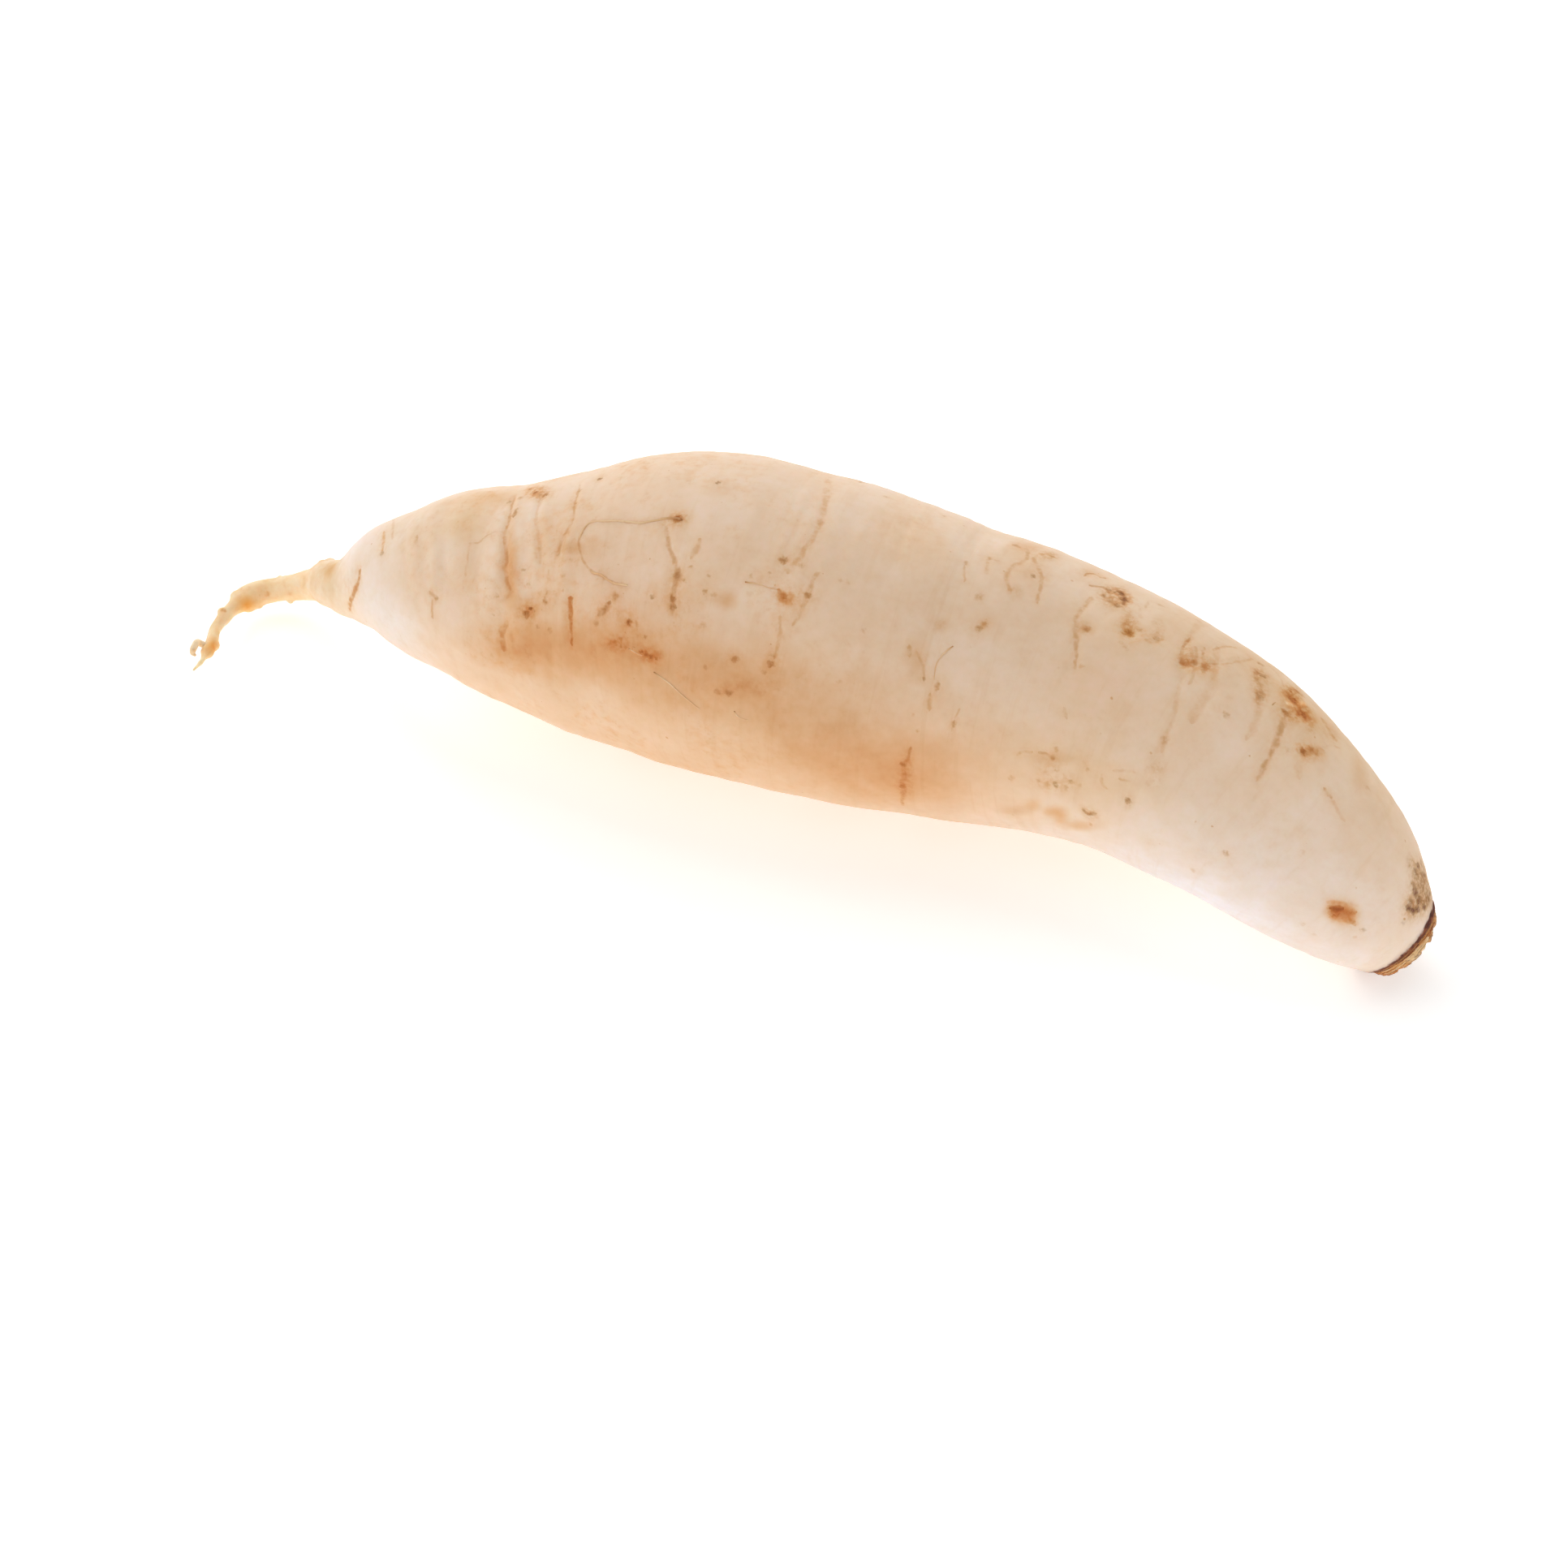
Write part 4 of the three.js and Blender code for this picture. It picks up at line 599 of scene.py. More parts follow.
def relief(s, a, p):
    """How far the skin stands above (or below) the smooth root, in mm."""
    deg = np.degrees(a)
    r = np.maximum(ROOT.radius(s), 0.3)
    body = smooth(s, 72, 112)
    end = 1 - 0.6 * smooth(s, LENGTH - 14, LENGTH)
    d = body * end * (0.34 * NOISE[0](p / 26) + 0.13 * NOISE[1](p / 8.5) + 0.045 * NOISE[2](p / 2.6))
    rings = NOISE[3](around(s, a, (0.42, 0.045))) * 0.10 + NOISE[4](around(s, a, (1.15, 0.07))) * 0.035
    d += body * rings * (0.6 + 0.8 * smooth(NOISE[5](p / 30), -0.4, 0.5))
    # the tail is knotted and wrinkled lengthwise
    tail = 1 - smooth(s, 48, 86)
    thin = np.clip(r / 3.0, 0.15, 1.0)
    for s0, a0, reach, high in TAIL_BUMPS:
        q = np.hypot(s - s0, np.radians(turn(deg, a0)) * r) / reach
        d += high * np.exp(-q * q)
    d += 0.34 * np.exp(-((s - 9.7) / 1.1) ** 2) - 0.13 * np.exp(-((s - 6.5) / 1.1) ** 2) + 0.10 * np.exp(-((s - 4.2) / 0.8) ** 2)
    d += tail * thin * (0.22 * NOISE[6](p / 4.6) + 0.07 * NOISE[7](p / 1.7) + 0.05 * NOISE[2](around(s, a, (0.30, 0.32))))
    neck = smooth(s, 30, 60) * (1 - smooth(s, 88, 112))
    d += neck * (0.14 * NOISE[1](p / 6.5) + 0.03 * NOISE[4](around(s, a, (0.8, 0.10))))
    # shallow folds across the thin end, on the near and upper side
    for s0, a0, half, amp, wide in FOLDS:
        k = np.exp(-((s - s0 - 2.5 * np.sin(a + s0)) / wide) ** 2) * (1 - smooth(np.abs(turn(deg, a0)), half * 0.4, half))
        d += amp * k * (0.75 + 0.5 * NOISE[5](p / 12))
    # creases
    for line in LINES:
        g = line[3]
        if g == 0:
            continue
        lo, hi = unwrapped(line)
        k = near(s, deg, r, line[0][:, 0].min(), line[0][:, 0].max(), lo, hi, 4.5)
        if not len(k):
            continue
        sd, w, dist = line_field(s[k], deg[k], r[k], line)
        wide = np.maximum(w, 0.1) + 0.55
        on = smooth(w, -0.7, 0.25)
        d[k] -= on * g * np.exp(-(sd / wide) ** 2)
        if g > 0:
            d[k] += on * g * 0.38 * np.exp(-((sd - 2.0 * wide) / wide) ** 2)
    for s0, a0, rad, _tone, _st, dim in SPOTS:
        if dim == 0:
            continue
        k = near(s, deg, r, s0, s0, a0, a0, rad * 3 + 3)
        if len(k):
            q = np.hypot(s[k] - s0, np.radians(turn(deg[k], a0)) * r[k]) / (rad * 1.15 + 0.45)
            d[k] += -dim * np.exp(-q * q) + 0.3 * dim * np.exp(-((q - 1.9) / 0.7) ** 2)
    for s0, a0, la, lb, ang, kind, tone, st in PATCHES:
        if kind not in "ogv":
            continue
        k = near(s, deg, r, s0, s0, a0, a0, max(la, lb) * 1.4)
        if len(k):
            x, y = s[k] - s0, np.radians(turn(deg[k], a0)) * r[k]
            c, sn = math.cos(math.radians(ang)), math.sin(math.radians(ang))
            q = np.hypot((x * c + y * sn) / la, (-x * sn + y * c) / lb)
            m = (1 - smooth(q, 0.4, 1.3)) * min(1.0, st * 2.6)
            d[k] += m * (0.10 * NOISE[7](p[k] / 1.35) - 0.05)
    return d


def skin_point(s, a):
    s, a = np.asarray(s, float), np.asarray(a, float)
    o, al, up, side = ROOT.frame(s)
    ray = up * np.cos(a)[:, None] + side * np.sin(a)[:, None]
    rho = base_radius(s, a)
    p = o + ray * rho[:, None]
    rho = rho + relief(s, a, p)
    tail = s < 70
    if tail.any():
        rho[tail] = knob_reach(s[tail], a[tail], rho[tail])
    p = o + ray * np.maximum(rho, 0.05)[:, None]
    p[:, 2] = np.maximum(p[:, 2], 0)
    return p


# columns: closer together on the near side, every 2nd and 4th used on thinner stretches
COLS = 192
_w = np.linspace(0, 360, 3601)
_dens = np.where(np.abs(turn(_w, 45)) < 100, 1.0, 0.62)
_dens = np.convolve(np.r_[_dens[-60:], _dens, _dens[:60]], np.ones(121) / 121, "same")[60:-60]
_cum = np.r_[0, np.cumsum((_dens[1:] + _dens[:-1]) / 2)]
ANGLES = np.radians(np.interp(np.arange(COLS) / COLS * _cum[-1], _cum, _w))

rings = []          # (s, step through the columns, share of the rim radius, lift)
s = 0.35
while s < 57:
    rings.append((s, 4, 1.0, 0.0))
    s += 0.46
s = 57.4
while s < 95:
    rings.append((s, 2, 1.0, 0.0))
    s += 0.68
s = 95.4
while s < LENGTH - 3.2:
    rings.append((s, 1, 1.0, 0.0))
    s += 0.672
while s < LENGTH - 0.12:
    rings.append((s, 1, 1.0, 0.0))
    s += 0.36
rings.append((LENGTH, 1, 1.0, 0.0))
CAP = [(0.985, 0.14, 1), (0.955, 0.22, 1), (0.925, 0.18, 1), (0.89, 0.20, 1), (0.84, 0.40, 2), (0.79, 0.50, 2), (0.73, 0.62, 2), (0.66, 0.74, 2),
       (0.58, 0.86, 2), (0.50, 0.97, 4), (0.41, 1.07, 4), (0.32, 1.15, 4), (0.22, 1.22, 4), (0.11, 1.27, 4)]
for k, lift, step in CAP:
    rings.append((LENGTH, step, k, lift))

verts_s, verts_a, verts_k, verts_l, start = [], [], [], [], []
for rs, step, k, lift in rings:
    start.append(sum(len(v) for v in verts_s))
    ang = ANGLES[::step]
    verts_s.append(np.full(len(ang), rs)); verts_a.append(ang)
    verts_k.append(np.full(len(ang), k)); verts_l.append(np.full(len(ang), lift))
VS, VA, VK, VL = (np.concatenate(v) for v in (verts_s, verts_a, verts_k, verts_l))
P = skin_point(VS, VA)
O, AL, UP, SIDE = ROOT.frame(VS)
cap = VK < 1
# the crown face: low concentric leaf scars and radial fibres, with a torn, raised edge
rim_noise = NOISE[2](np.stack([np.cos(VA) * 5.5, np.sin(VA) * 5.5, np.zeros(len(VA))], -1))
rim_jag = NOISE[5](np.stack([np.cos(VA) * 16, np.sin(VA) * 16, np.zeros(len(VA)) + 3], -1))
kr = VK * RIM
fibre = NOISE[4](np.stack([np.cos(VA) * 9, np.sin(VA) * 9, kr * 0.25], -1)) * 0.16 + NOISE[6](np.stack([kr * 1.1, np.cos(VA) * 1.2, np.sin(VA) * 1.2], -1)) * 0.22
lift = VL + fibre * smooth(VK, 0.05, 0.2) * (1 - smooth(VK, 0.93, 1.0)) + (0.30 + 0.30 * rim_noise + 0.22 * rim_jag) * np.exp(-((VK - 0.965) / 0.028) ** 2)
rad = VK * base_radius(VS, VA)
capP = O + AL * lift[:, None] + (UP * np.cos(VA)[:, None] + SIDE * np.sin(VA)[:, None]) * rad[:, None]
P = np.where(cap[:, None], capP, P)
# the skin's dark edge stands a little proud where it dried and curled
edge = np.exp(-((LENGTH - VS - 0.55) / 0.5) ** 2) * (~cap) * (0.16 + 0.14 * rim_noise + 0.16 * np.exp(-(turn(np.degrees(VA), -18) / 28) ** 2))
P += (UP * np.cos(VA)[:, None] + SIDE * np.sin(VA)[:, None]) * edge[:, None]
P += AL * ((VS > LENGTH - 0.2) & ~cap)[:, None] * (0.10 * rim_jag)[:, None]
P[:, 2] = np.maximum(P[:, 2], 0)

o0, al0, _, _ = ROOT.frame(np.array([0.0]))
tip = o0[0] - al0[0] * 0.3
oL, alL, upL, sideL = (v[0] for v in ROOT.frame(np.array([LENGTH])))
top = oL + alL * (CROWN_DOME - 0.02)
n_ring = len(P)
P = np.vstack([P, tip, top])
TIP, TOP = n_ring, n_ring + 1

faces = []
for i in range(len(rings) - 1):
    a0, b0 = start[i], start[i + 1]
    sa, sb = rings[i][1], rings[i + 1][1]
    na, nb = COLS // sa, COLS // sb
    if na == nb:
        for j in range(na):
            j2 = (j + 1) % na
            faces.append((a0 + j, a0 + j2, b0 + j2, b0 + j))
    elif nb == 2 * na:
        for j in range(na):
            j2 = (j + 1) % na
            f0, f1, f2 = b0 + 2 * j, b0 + 2 * j + 1, b0 + (2 * j + 2) % nb
            faces += [(a0 + j, f1, f0), (a0 + j, a0 + j2, f1), (a0 + j2, f2, f1)]
    else:
        for j in range(nb):
            j2 = (j + 1) % nb
            f0, f1, f2 = a0 + 2 * j, a0 + 2 * j + 1, a0 + (2 * j + 2) % na
            faces += [(b0 + j, f0, f1), (b0 + j, f1, b0 + j2), (b0 + j2, f1, f2)]
for j in range(COLS // 4):
    faces.append((TIP, start[0] + (j + 1) % (COLS // 4), start[0] + j))
    faces.append((TOP, start[-1] + j, start[-1] + (j + 1) % (COLS // 4)))


def mesh_object(name, points_mm, polys, smooth_shade=True):
    me = bpy.data.meshes.new(name)
    me.from_pydata((np.asarray(points_mm) * MM).tolist(), [], [tuple(f) for f in polys])
    me.polygons.foreach_set("use_smooth", [smooth_shade] * len(me.polygons))
    me.validate()
    me.update()
    ob = bpy.data.objects.new(name, me)
    bpy.context.scene.collection.objects.link(ob)
    return ob


def put(me, name, values):
    values = np.asarray(values, np.float32)
    if values.ndim == 1:
        at = me.attributes.new(name, "FLOAT", "POINT")
        at.data.foreach_set("value", values)
    else:
        at = me.attributes.new(name, "FLOAT_VECTOR", "POINT")
        at.data.foreach_set("vector", values.ravel())


def outward(ob):
    """Turns the faces outward if the closed mesh has a negative volume."""
    me = ob.data
    co = np.zeros(len(me.vertices) * 3); me.vertices.foreach_get("co", co); co = co.reshape(-1, 3)
    me.calc_loop_triangles()
    tri = np.zeros(len(me.loop_triangles) * 3, int); me.loop_triangles.foreach_get("vertices", tri); tri = tri.reshape(-1, 3)
    vol = (co[tri[:, 0]] * np.cross(co[tri[:, 1]], co[tri[:, 2]])).sum()
    if vol < 0:
        me.flip_normals()
    return ob


skin = outward(mesh_object("taproot_skin", P, faces))


def ring_values(s, a):
    """The shader's coordinates and mark fields at every vertex."""
    deg = np.degrees(a)
    r = np.maximum(ROOT.radius(s), 0.3)
    made = {}
    halo, halo_tone = np.zeros(len(s)), np.zeros(len(s))
    for c, group in enumerate(LINE_CHANNELS):
        best = np.full(len(s), 1e9)
        vec = np.zeros((len(s), 3)); vec[:, 0] = 9
        tone = np.zeros(len(s))
        for k in group:
            line = LINES[k]
            lo, hi = unwrapped(line)
            idx = near(s, deg, r, line[0][:, 0].min(), line[0][:, 0].max(), lo, hi, 5.0)
            if not len(idx):
                continue
            sd, w, dist = line_field(s[idx], deg[idx], r[idx], line)
            glow = line[2] * np.exp(-((dist / (np.maximum(w, 0.15) * 2.0 + 0.75)) ** 2)) * 0.30
            halo[idx] += glow; halo_tone[idx] += glow * line[1] * 0.55
            closer = dist < best[idx]
            idx, sd, w, dist = idx[closer], sd[closer], w[closer], dist[closer]
            best[idx] = dist
            vec[idx, 0], vec[idx, 1] = sd, w
            vec[idx, 2] = np.where(dist < np.maximum(w, 0) + 1.7, line[2], 0.0)
            tone[idx] = line[1]
        made["line%d" % c] = vec
        made["line%d_tone" % c] = tone
    for c, group in enumerate(SPOT_CHANNELS):
        best = np.full(len(s), 1e9)
        vec = np.zeros((len(s), 3)); vec[:, 0] = 9; vec[:, 2] = 1
        look = np.zeros((len(s), 3))
        for k in group:
            s0, a0, rad, tone, amt, _ = SPOTS[k]
            idx = near(s, deg, r, s0, s0, a0, a0, rad * 3 + 4.0)
            if not len(idx):
                continue
            x, y = s[idx] - s0, np.radians(turn(deg[idx], a0)) * r[idx]
            glow = amt * np.exp(-((np.hypot(x, y) / (rad * 1.7 + 0.7)) ** 2)) * 0.24
            halo[idx] += glow; halo_tone[idx] += glow * tone * 0.45
            q = np.hypot(x, y) - rad
            closer = q < best[idx]
            idx, x, y, q = idx[closer], x[closer], y[closer], q[closer]
            best[idx] = q
            vec[idx] = np.stack([x, y, np.full(len(x), rad)], -1)
            look[idx, 0] = tone
            look[idx, 1] = np.where(q < 1.7, amt, 0.0)
        made["spot%d" % c] = vec
        made["spot%d_look" % c] = look
    soft, soft_t, grit, grit_t = (np.zeros(len(s)) for _ in range(4))
    for s0, a0, la, lb, ang, kind, tone, st in PATCHES:
        idx = near(s, deg, r, s0, s0, a0, a0, max(la, lb) * 1.7)
        if not len(idx):
            continue
        x, y = s[idx] - s0, np.radians(turn(deg[idx], a0)) * r[idx]
        c_, s_ = math.cos(math.radians(ang)), math.sin(math.radians(ang))
        q = np.hypot((x * c_ + y * s_) / la, (-x * s_ + y * c_) / lb)
        # the 'w' patches among the soft ones are painted shade and warm reflected light from a neighbouring root on the
        # belly
        if kind in "ypw":
            m = st * (1 - smooth(q, 0.0, 1.6))
            soft[idx] += m; soft_t[idx] += m * tone
        else:
            m = st * (1 - smooth(q, 0.2, 1.4))
            grit[idx] += m; grit_t[idx] += m * tone
    # the broad tints go into the tint attribute; some are painted shade and painted light
    for s0, a0, la, lb, ang, dr, dg, db in BROAD_TINTS_AND_PAINTED_SHADING:
        x, y = s - s0, np.radians(turn(deg, a0)) * r
        c_, s_ = math.cos(math.radians(ang)), math.sin(math.radians(ang))
        q = np.hypot((x * c_ + y * s_) / la, (-x * s_ + y * c_) / lb)
        m = np.exp(-q * q)
        made.setdefault("tint", np.zeros((len(s), 3)))
        made["tint"] += m[:, None] * np.array([dr, dg, db])
    made["stain"] = np.stack([soft, grit, np.minimum(halo, 0.5)], -1)
    made["stain_tone"] = np.stack([soft_t, grit_t, np.minimum(halo_tone, 0.4)], -1)
    made["ring_co"] = np.stack([s, 20 * np.cos(a), 20 * np.sin(a)], -1)
    return made


fields = ring_values(VS, VA)
tail_f = 1 - smooth(VS + 5 * (1 - np.cos(VA - math.radians(50))), 55, 88)
rim_d = np.where(cap, -(1 - VK) * RIM, LENGTH - VS)
band = 0.95 + 1.15 * np.exp(-(turn(np.degrees(VA), -10) / 30) ** 2) + 0.24 * rim_noise - 0.2 * np.exp(-(turn(np.degrees(VA), 115) / 25) ** 2)
fields["zone"] = np.stack([rim_d, tail_f, band], -1)
for name, v in fields.items():
    ends = np.array([v[start[0]], v[start[-1]]])
    if name == "zone":
        ends = np.array([[LENGTH, 1, 1], [-RIM, 0, 1]])
    put(skin.data, name, np.concatenate([v, ends]))


# ------------------------------------------------------------------ tubes, prong
def tube(path, radii, sides, cap_ends=True):
    """Points and faces of a closed tube along a path, with a frame that doesn't twist."""
    path = np.asarray(path, float)
    n = len(path)
    tan = np.gradient(path, axis=0)
    tan /= np.linalg.norm(tan, axis=1, keepdims=True)
    nrm = np.cross(tan[0], [0.3, 0.2, 1.0]); nrm /= np.linalg.norm(nrm)
    pts, polys = [], []
    for i in range(n):
        nrm = nrm - tan[i] * nrm.dot(tan[i]); nrm /= np.linalg.norm(nrm)
        bi = np.cross(tan[i], nrm)
        for j in range(sides):
            t = 2 * math.pi * j / sides
            pts.append(path[i] + radii[i] * (nrm * math.cos(t) + bi * math.sin(t)))
    for i in range(n - 1):
        for j in range(sides):
            j2 = (j + 1) % sides
            polys.append((i * sides + j, i * sides + j2, (i + 1) * sides + j2, (i + 1) * sides + j))
    c0, c1 = len(pts), len(pts) + 1
    pts.append(path[0] - tan[0] * radii[0] * 0.6); pts.append(path[-1] + tan[-1] * radii[-1] * 0.8)
    for j in range(sides):
        j2 = (j + 1) % sides
        polys.append((c0, j2, j)); polys.append((c1, (n - 1) * sides + j, (n - 1) * sides + j2))
    return np.array(pts), polys


def volume_of(points, polys):
    v = 0.0
    for f in polys:
        a = points[f[0]]
        for i in range(1, len(f) - 1):
            v += a.dot(np.cross(points[f[i]], points[f[i + 1]]))
    return v


def turned_out(points, polys):
    return polys if volume_of(points, polys) > 0 else [tuple(reversed(f)) for f in polys]


# The small hooked side root near the tip of the tail, a piece of the side-root mesh.
PRONG = CentreLine(PRONG_STATIONS)
_ps = np.linspace(0, PRONG.length, 46)
_pp = PRONG.point(_ps)
_pr = PRONG.radius(_ps) * (1.28 + 0.12 * NOISE[3](_pp / 1.4) + 0.30 * np.exp(-((_ps / PRONG.length - 0.80) / 0.22) ** 2))
prong_pts, prong_faces = tube(_pp, _pr, 14)
prong_pts = prong_pts + (0.04 * NOISE[6](prong_pts / 1.0))[:, None] * 0.7
prong_faces = turned_out(prong_pts, prong_faces)


# ------------------------------------------------------------------- rootlets
def rootlet_tubes():
    pts_all, faces_all, along_all = [], [], []
    for path, r0, r1 in ROOTLETS:
        f = finer([(a, b, 0.3) for a, b in path], 6)
        n = len(f)
        sa, aa = f[:, 0], np.radians(f[:, 1])
        p = skin_point(sa, aa)
        o = ROOT.point(sa)
        out = p - o
        out /= np.linalg.norm(out, axis=1, keepdims=True)
        t = np.linspace(0, 1, n)
        rad = (r0 + (r1 - r0) * t) * (1 + 0.16 * NOISE[2](p / 2.0))
        wav = NOISE[5](p / 3.1) * 0.10
        gone = smooth(t, 0.56, 0.64) * (1 - smooth(t, 0.74, 0.82)) if r0 > 0.28 else 0 * t
        p = p + out * (rad * (-0.30 - 0.35 * NOISE[1](p / 9.0) - 1.2 * gone) + wav * 0.10)[:, None]
        q, fc = tube(p, rad, 8)
        fc = turned_out(q, fc)
        base = sum(len(x) for x in pts_all)
        pts_all.append(q); faces_all += [tuple(i + base for i in g) for g in fc]
        tt = np.repeat(t, 8)
        along_all.append(np.concatenate([tt, [0, 1]]))
    base = sum(len(x) for x in pts_all)
    pts_all.append(prong_pts); faces_all += [tuple(i + base for i in g) for g in prong_faces]
    along_all.append(np.concatenate([1.0 + np.repeat(np.linspace(0, 1, 46), 14), [1.0, 2.0]]))
    ob = mesh_object("lateral_rootlets", np.vstack(pts_all), faces_all)
    put(ob.data, "along", np.concatenate(along_all))
    return ob


rootlets = rootlet_tubes()


# ---------------------------------------------------------------------- crown
def crown_to_world(xyz):
    xyz = np.asarray(xyz, float)
    world = oL + xyz[:, 0:1] * upL + xyz[:, 1:2] * sideL + xyz[:, 2:3] * alL
    # where it rests, the lowest edge is pressed round against the ground
    world[:, 2] = 0.04 + 0.42 * np.logaddexp(0.0, (world[:, 2] - 0.04) / 0.42)
    return world


def dome(radius):
    return CROWN_DOME * (1 - (radius / RIM) ** 2)


def crown_values(xyz, tint):
    """Height over the crown in mm, angle, and how pale the layer is: 0 is dark brown, 1 papery."""
    xyz = np.asarray(xyz, float)
    deg = np.degrees(np.arctan2(xyz[:, 1], xyz[:, 0]))
    dry = np.exp(-(turn(deg, 50) / 20) ** 2) * smooth(xyz[:, 2], 2.4, 3.0)
    ochre = np.exp(-(turn(deg, 118) / 26) ** 2)
    t = tint + 0.40 * dry - 0.12 * ochre
    return np.column_stack([xyz[:, 2], deg, np.clip(t, 0, 1)])


def stub_piece(name, inner, outer, from_, to, height, kind, seed, lean=0.0, n=84, levels=16, thin=None):
    """One cut leaf-stalk base: a crescent wall, fibrous on its sides, layered, with a torn cut top."""
    rng = np.random.RandomState(seed)
    a0, a1 = math.radians(from_), math.radians(to)
    mid, half = (inner + outer) / 2, (outer - inner) / 2
    raw = []
    for t in np.linspace(a0, a1, 60): raw.append((outer * math.cos(t), outer * math.sin(t)))
    for t in np.linspace(0, math.pi, 16)[1:]:
        raw.append((mid * math.cos(a1) + half * math.cos(a1 + t), mid * math.sin(a1) + half * math.sin(a1 + t)))
    for t in np.linspace(a1, a0, 50)[1:]: raw.append((inner * math.cos(t), inner * math.sin(t)))
    for t in np.linspace(0, math.pi, 16)[1:-1]:
        raw.append((mid * math.cos(a0) + half * math.cos(a0 + math.pi + t), mid * math.sin(a0) + half * math.sin(a0 + math.pi + t)))
    raw = np.array(raw)
    seg = np.linalg.norm(np.roll(raw, -1, 0) - raw, axis=1)
    cum = np.r_[0, np.cumsum(seg)]
    at = np.arange(n) / n * cum[-1]
    closed = np.vstack([raw, raw[:1]])
    q = np.stack([np.interp(at, cum, closed[:, k]) for k in (0, 1)], 1)
    d = np.roll(q, -1, 0) - np.roll(q, 1, 0)
    nrm = np.stack([d[:, 1], -d[:, 0]], 1)
    nrm /= np.linalg.norm(nrm, axis=1, keepdims=True)
    th = np.arctan2(q[:, 1], q[:, 0])
    mids = (a0 + a1) / 2
    th = mids + (th - mids + math.pi) % (2 * math.pi) - math.pi
    thc = np.clip(th, a0, a1)
    spine = np.stack([mid * np.cos(thc), mid * np.sin(thc)], 1)
    rad0 = np.linalg.norm(q, axis=1)
    depth = np.clip((outer - rad0) / (outer - inner), 0, 1)
    off3 = rng.uniform(0, 50, 3)
    arc = th * mid
    foot = dome(min(RIM, outer)) - 0.35
    # the cut top: uneven, with a few torn notches
    tall = height + 0.30 * NOISE[0](np.stack([arc / 2.6, depth * 0.9, arc * 0], 1) + off3) + 0.20 * NOISE[1](np.stack([arc / 0.75, depth * 0.8, arc * 0], 1) + off3)
    taper = smooth(np.minimum(th - a0, a1 - th) * mid, -half * 1.0, half * 0.9)
    tall = tall - (1 - taper) * (0.18 * height)
    steps = np.sort(rng.uniform(0.30, 0.86, 3)) * height
    pts, hh, dd = [], [], []
    for j in range(levels):
        f = (j / (levels - 1)) ** 0.9
        z = foot + (tall - foot) * f
        ridge = 0.17 * NOISE[2](np.stack([arc / 0.62, depth * 1.5, z / 5.0], 1) + off3) + 0.10 * NOISE[3](np.stack([arc / 0.28, depth * 2, z / 4.0], 1) + off3)
        layer = 0.0
        for k, st in enumerate(steps):
            edge = st + 0.34 * NOISE[4](np.stack([arc / 1.9, depth * 0 + k * 9.0, arc * 0], 1) + off3) + 0.14 * NOISE[5](np.stack([arc / 0.5, depth * 0 + k * 5.0, arc * 0], 1) + off3)
            layer = layer - 0.17 * smooth(z, edge - 0.05, edge + 0.10)
        off = ridge + layer * (1 - depth * 0.6) + 0.16 * np.sin(np.pi * min(f * 1.1, 1)) - 0.10 * (f > 0.97)
        xy = q + nrm * off[:, None]
        rr = np.linalg.norm(xy, axis=1, keepdims=True)
        xy = xy * (1 + lean * np.maximum(z - foot, 0)[:, None] / rr)
        pts.append(np.column_stack([xy, z])); hh.append(z / height); dd.append(depth)
    topz = pts[-1][:, 2]
    topxy = pts[-1][:, :2]
    shift = topxy - q
    for k in (0.90, 0.74, 0.54, 0.32, 0.12):
        xy = spine + (q - spine) * k + shift * 1.0
        vasc = NOISE[6](np.column_stack([xy * 1.5, np.zeros(n)]) + off3)
        z = topz.mean() * (1 - k) + topz * k - 0.34 * (1 - k * k) * min(1.0, height / 3) + 0.22 * vasc + 0.16 * NOISE[7](np.column_stack([xy * 3.4, np.zeros(n)]) + off3)
        pts.append(np.column_stack([xy, z])); hh.append(z / height + 0.5); dd.append(np.full(n, 0.5))
    rows = len(pts)
    allp = np.vstack(pts)
    polys = []
    for i in range(rows - 1):
        for j in range(n):
            j2 = (j + 1) % n
            polys.append((i * n + j, i * n + j2, (i + 1) * n + j2, (i + 1) * n + j))
    # the top closes in rings towards the spine and then with one face, and the foot is one flat face inside the crown
    last = (rows - 1) * n
    order = np.argsort(thc + 1e-4 * (rad0 - mid))
    world = crown_to_world(allp)
    polys.append(tuple(last + j for j in range(n)))
    polys.append(tuple(reversed(range(n))))
    polys = turned_out(world, polys)
    ob = mesh_object(name, world, polys)
    put(ob.data, "stub", np.column_stack([np.concatenate(hh), np.tile(arc, rows), np.concatenate(dd)]))
    put(ob.data, "stub_kind", np.full(len(allp), kind))
    put(ob.data, "crown", crown_values(allp, 0.46 + 0.16 * kind + 0.10 * rng.uniform(-1, 1)))
    return ob


stub_pieces = []
for k, (name, inner, outer, a0, a1, height) in enumerate(LEAF_STUBS):
    kind = 0.0 if name.startswith("outer") else 0.5 if name.startswith("middle") else 1.0
    piece = stub_piece(name + "_tissue", inner, outer, a0, a1, height, kind, 40 + k, lean=(0.10, 0.05, 0.02)[int(kind * 2)])
    stub_pieces.append((piece, name))


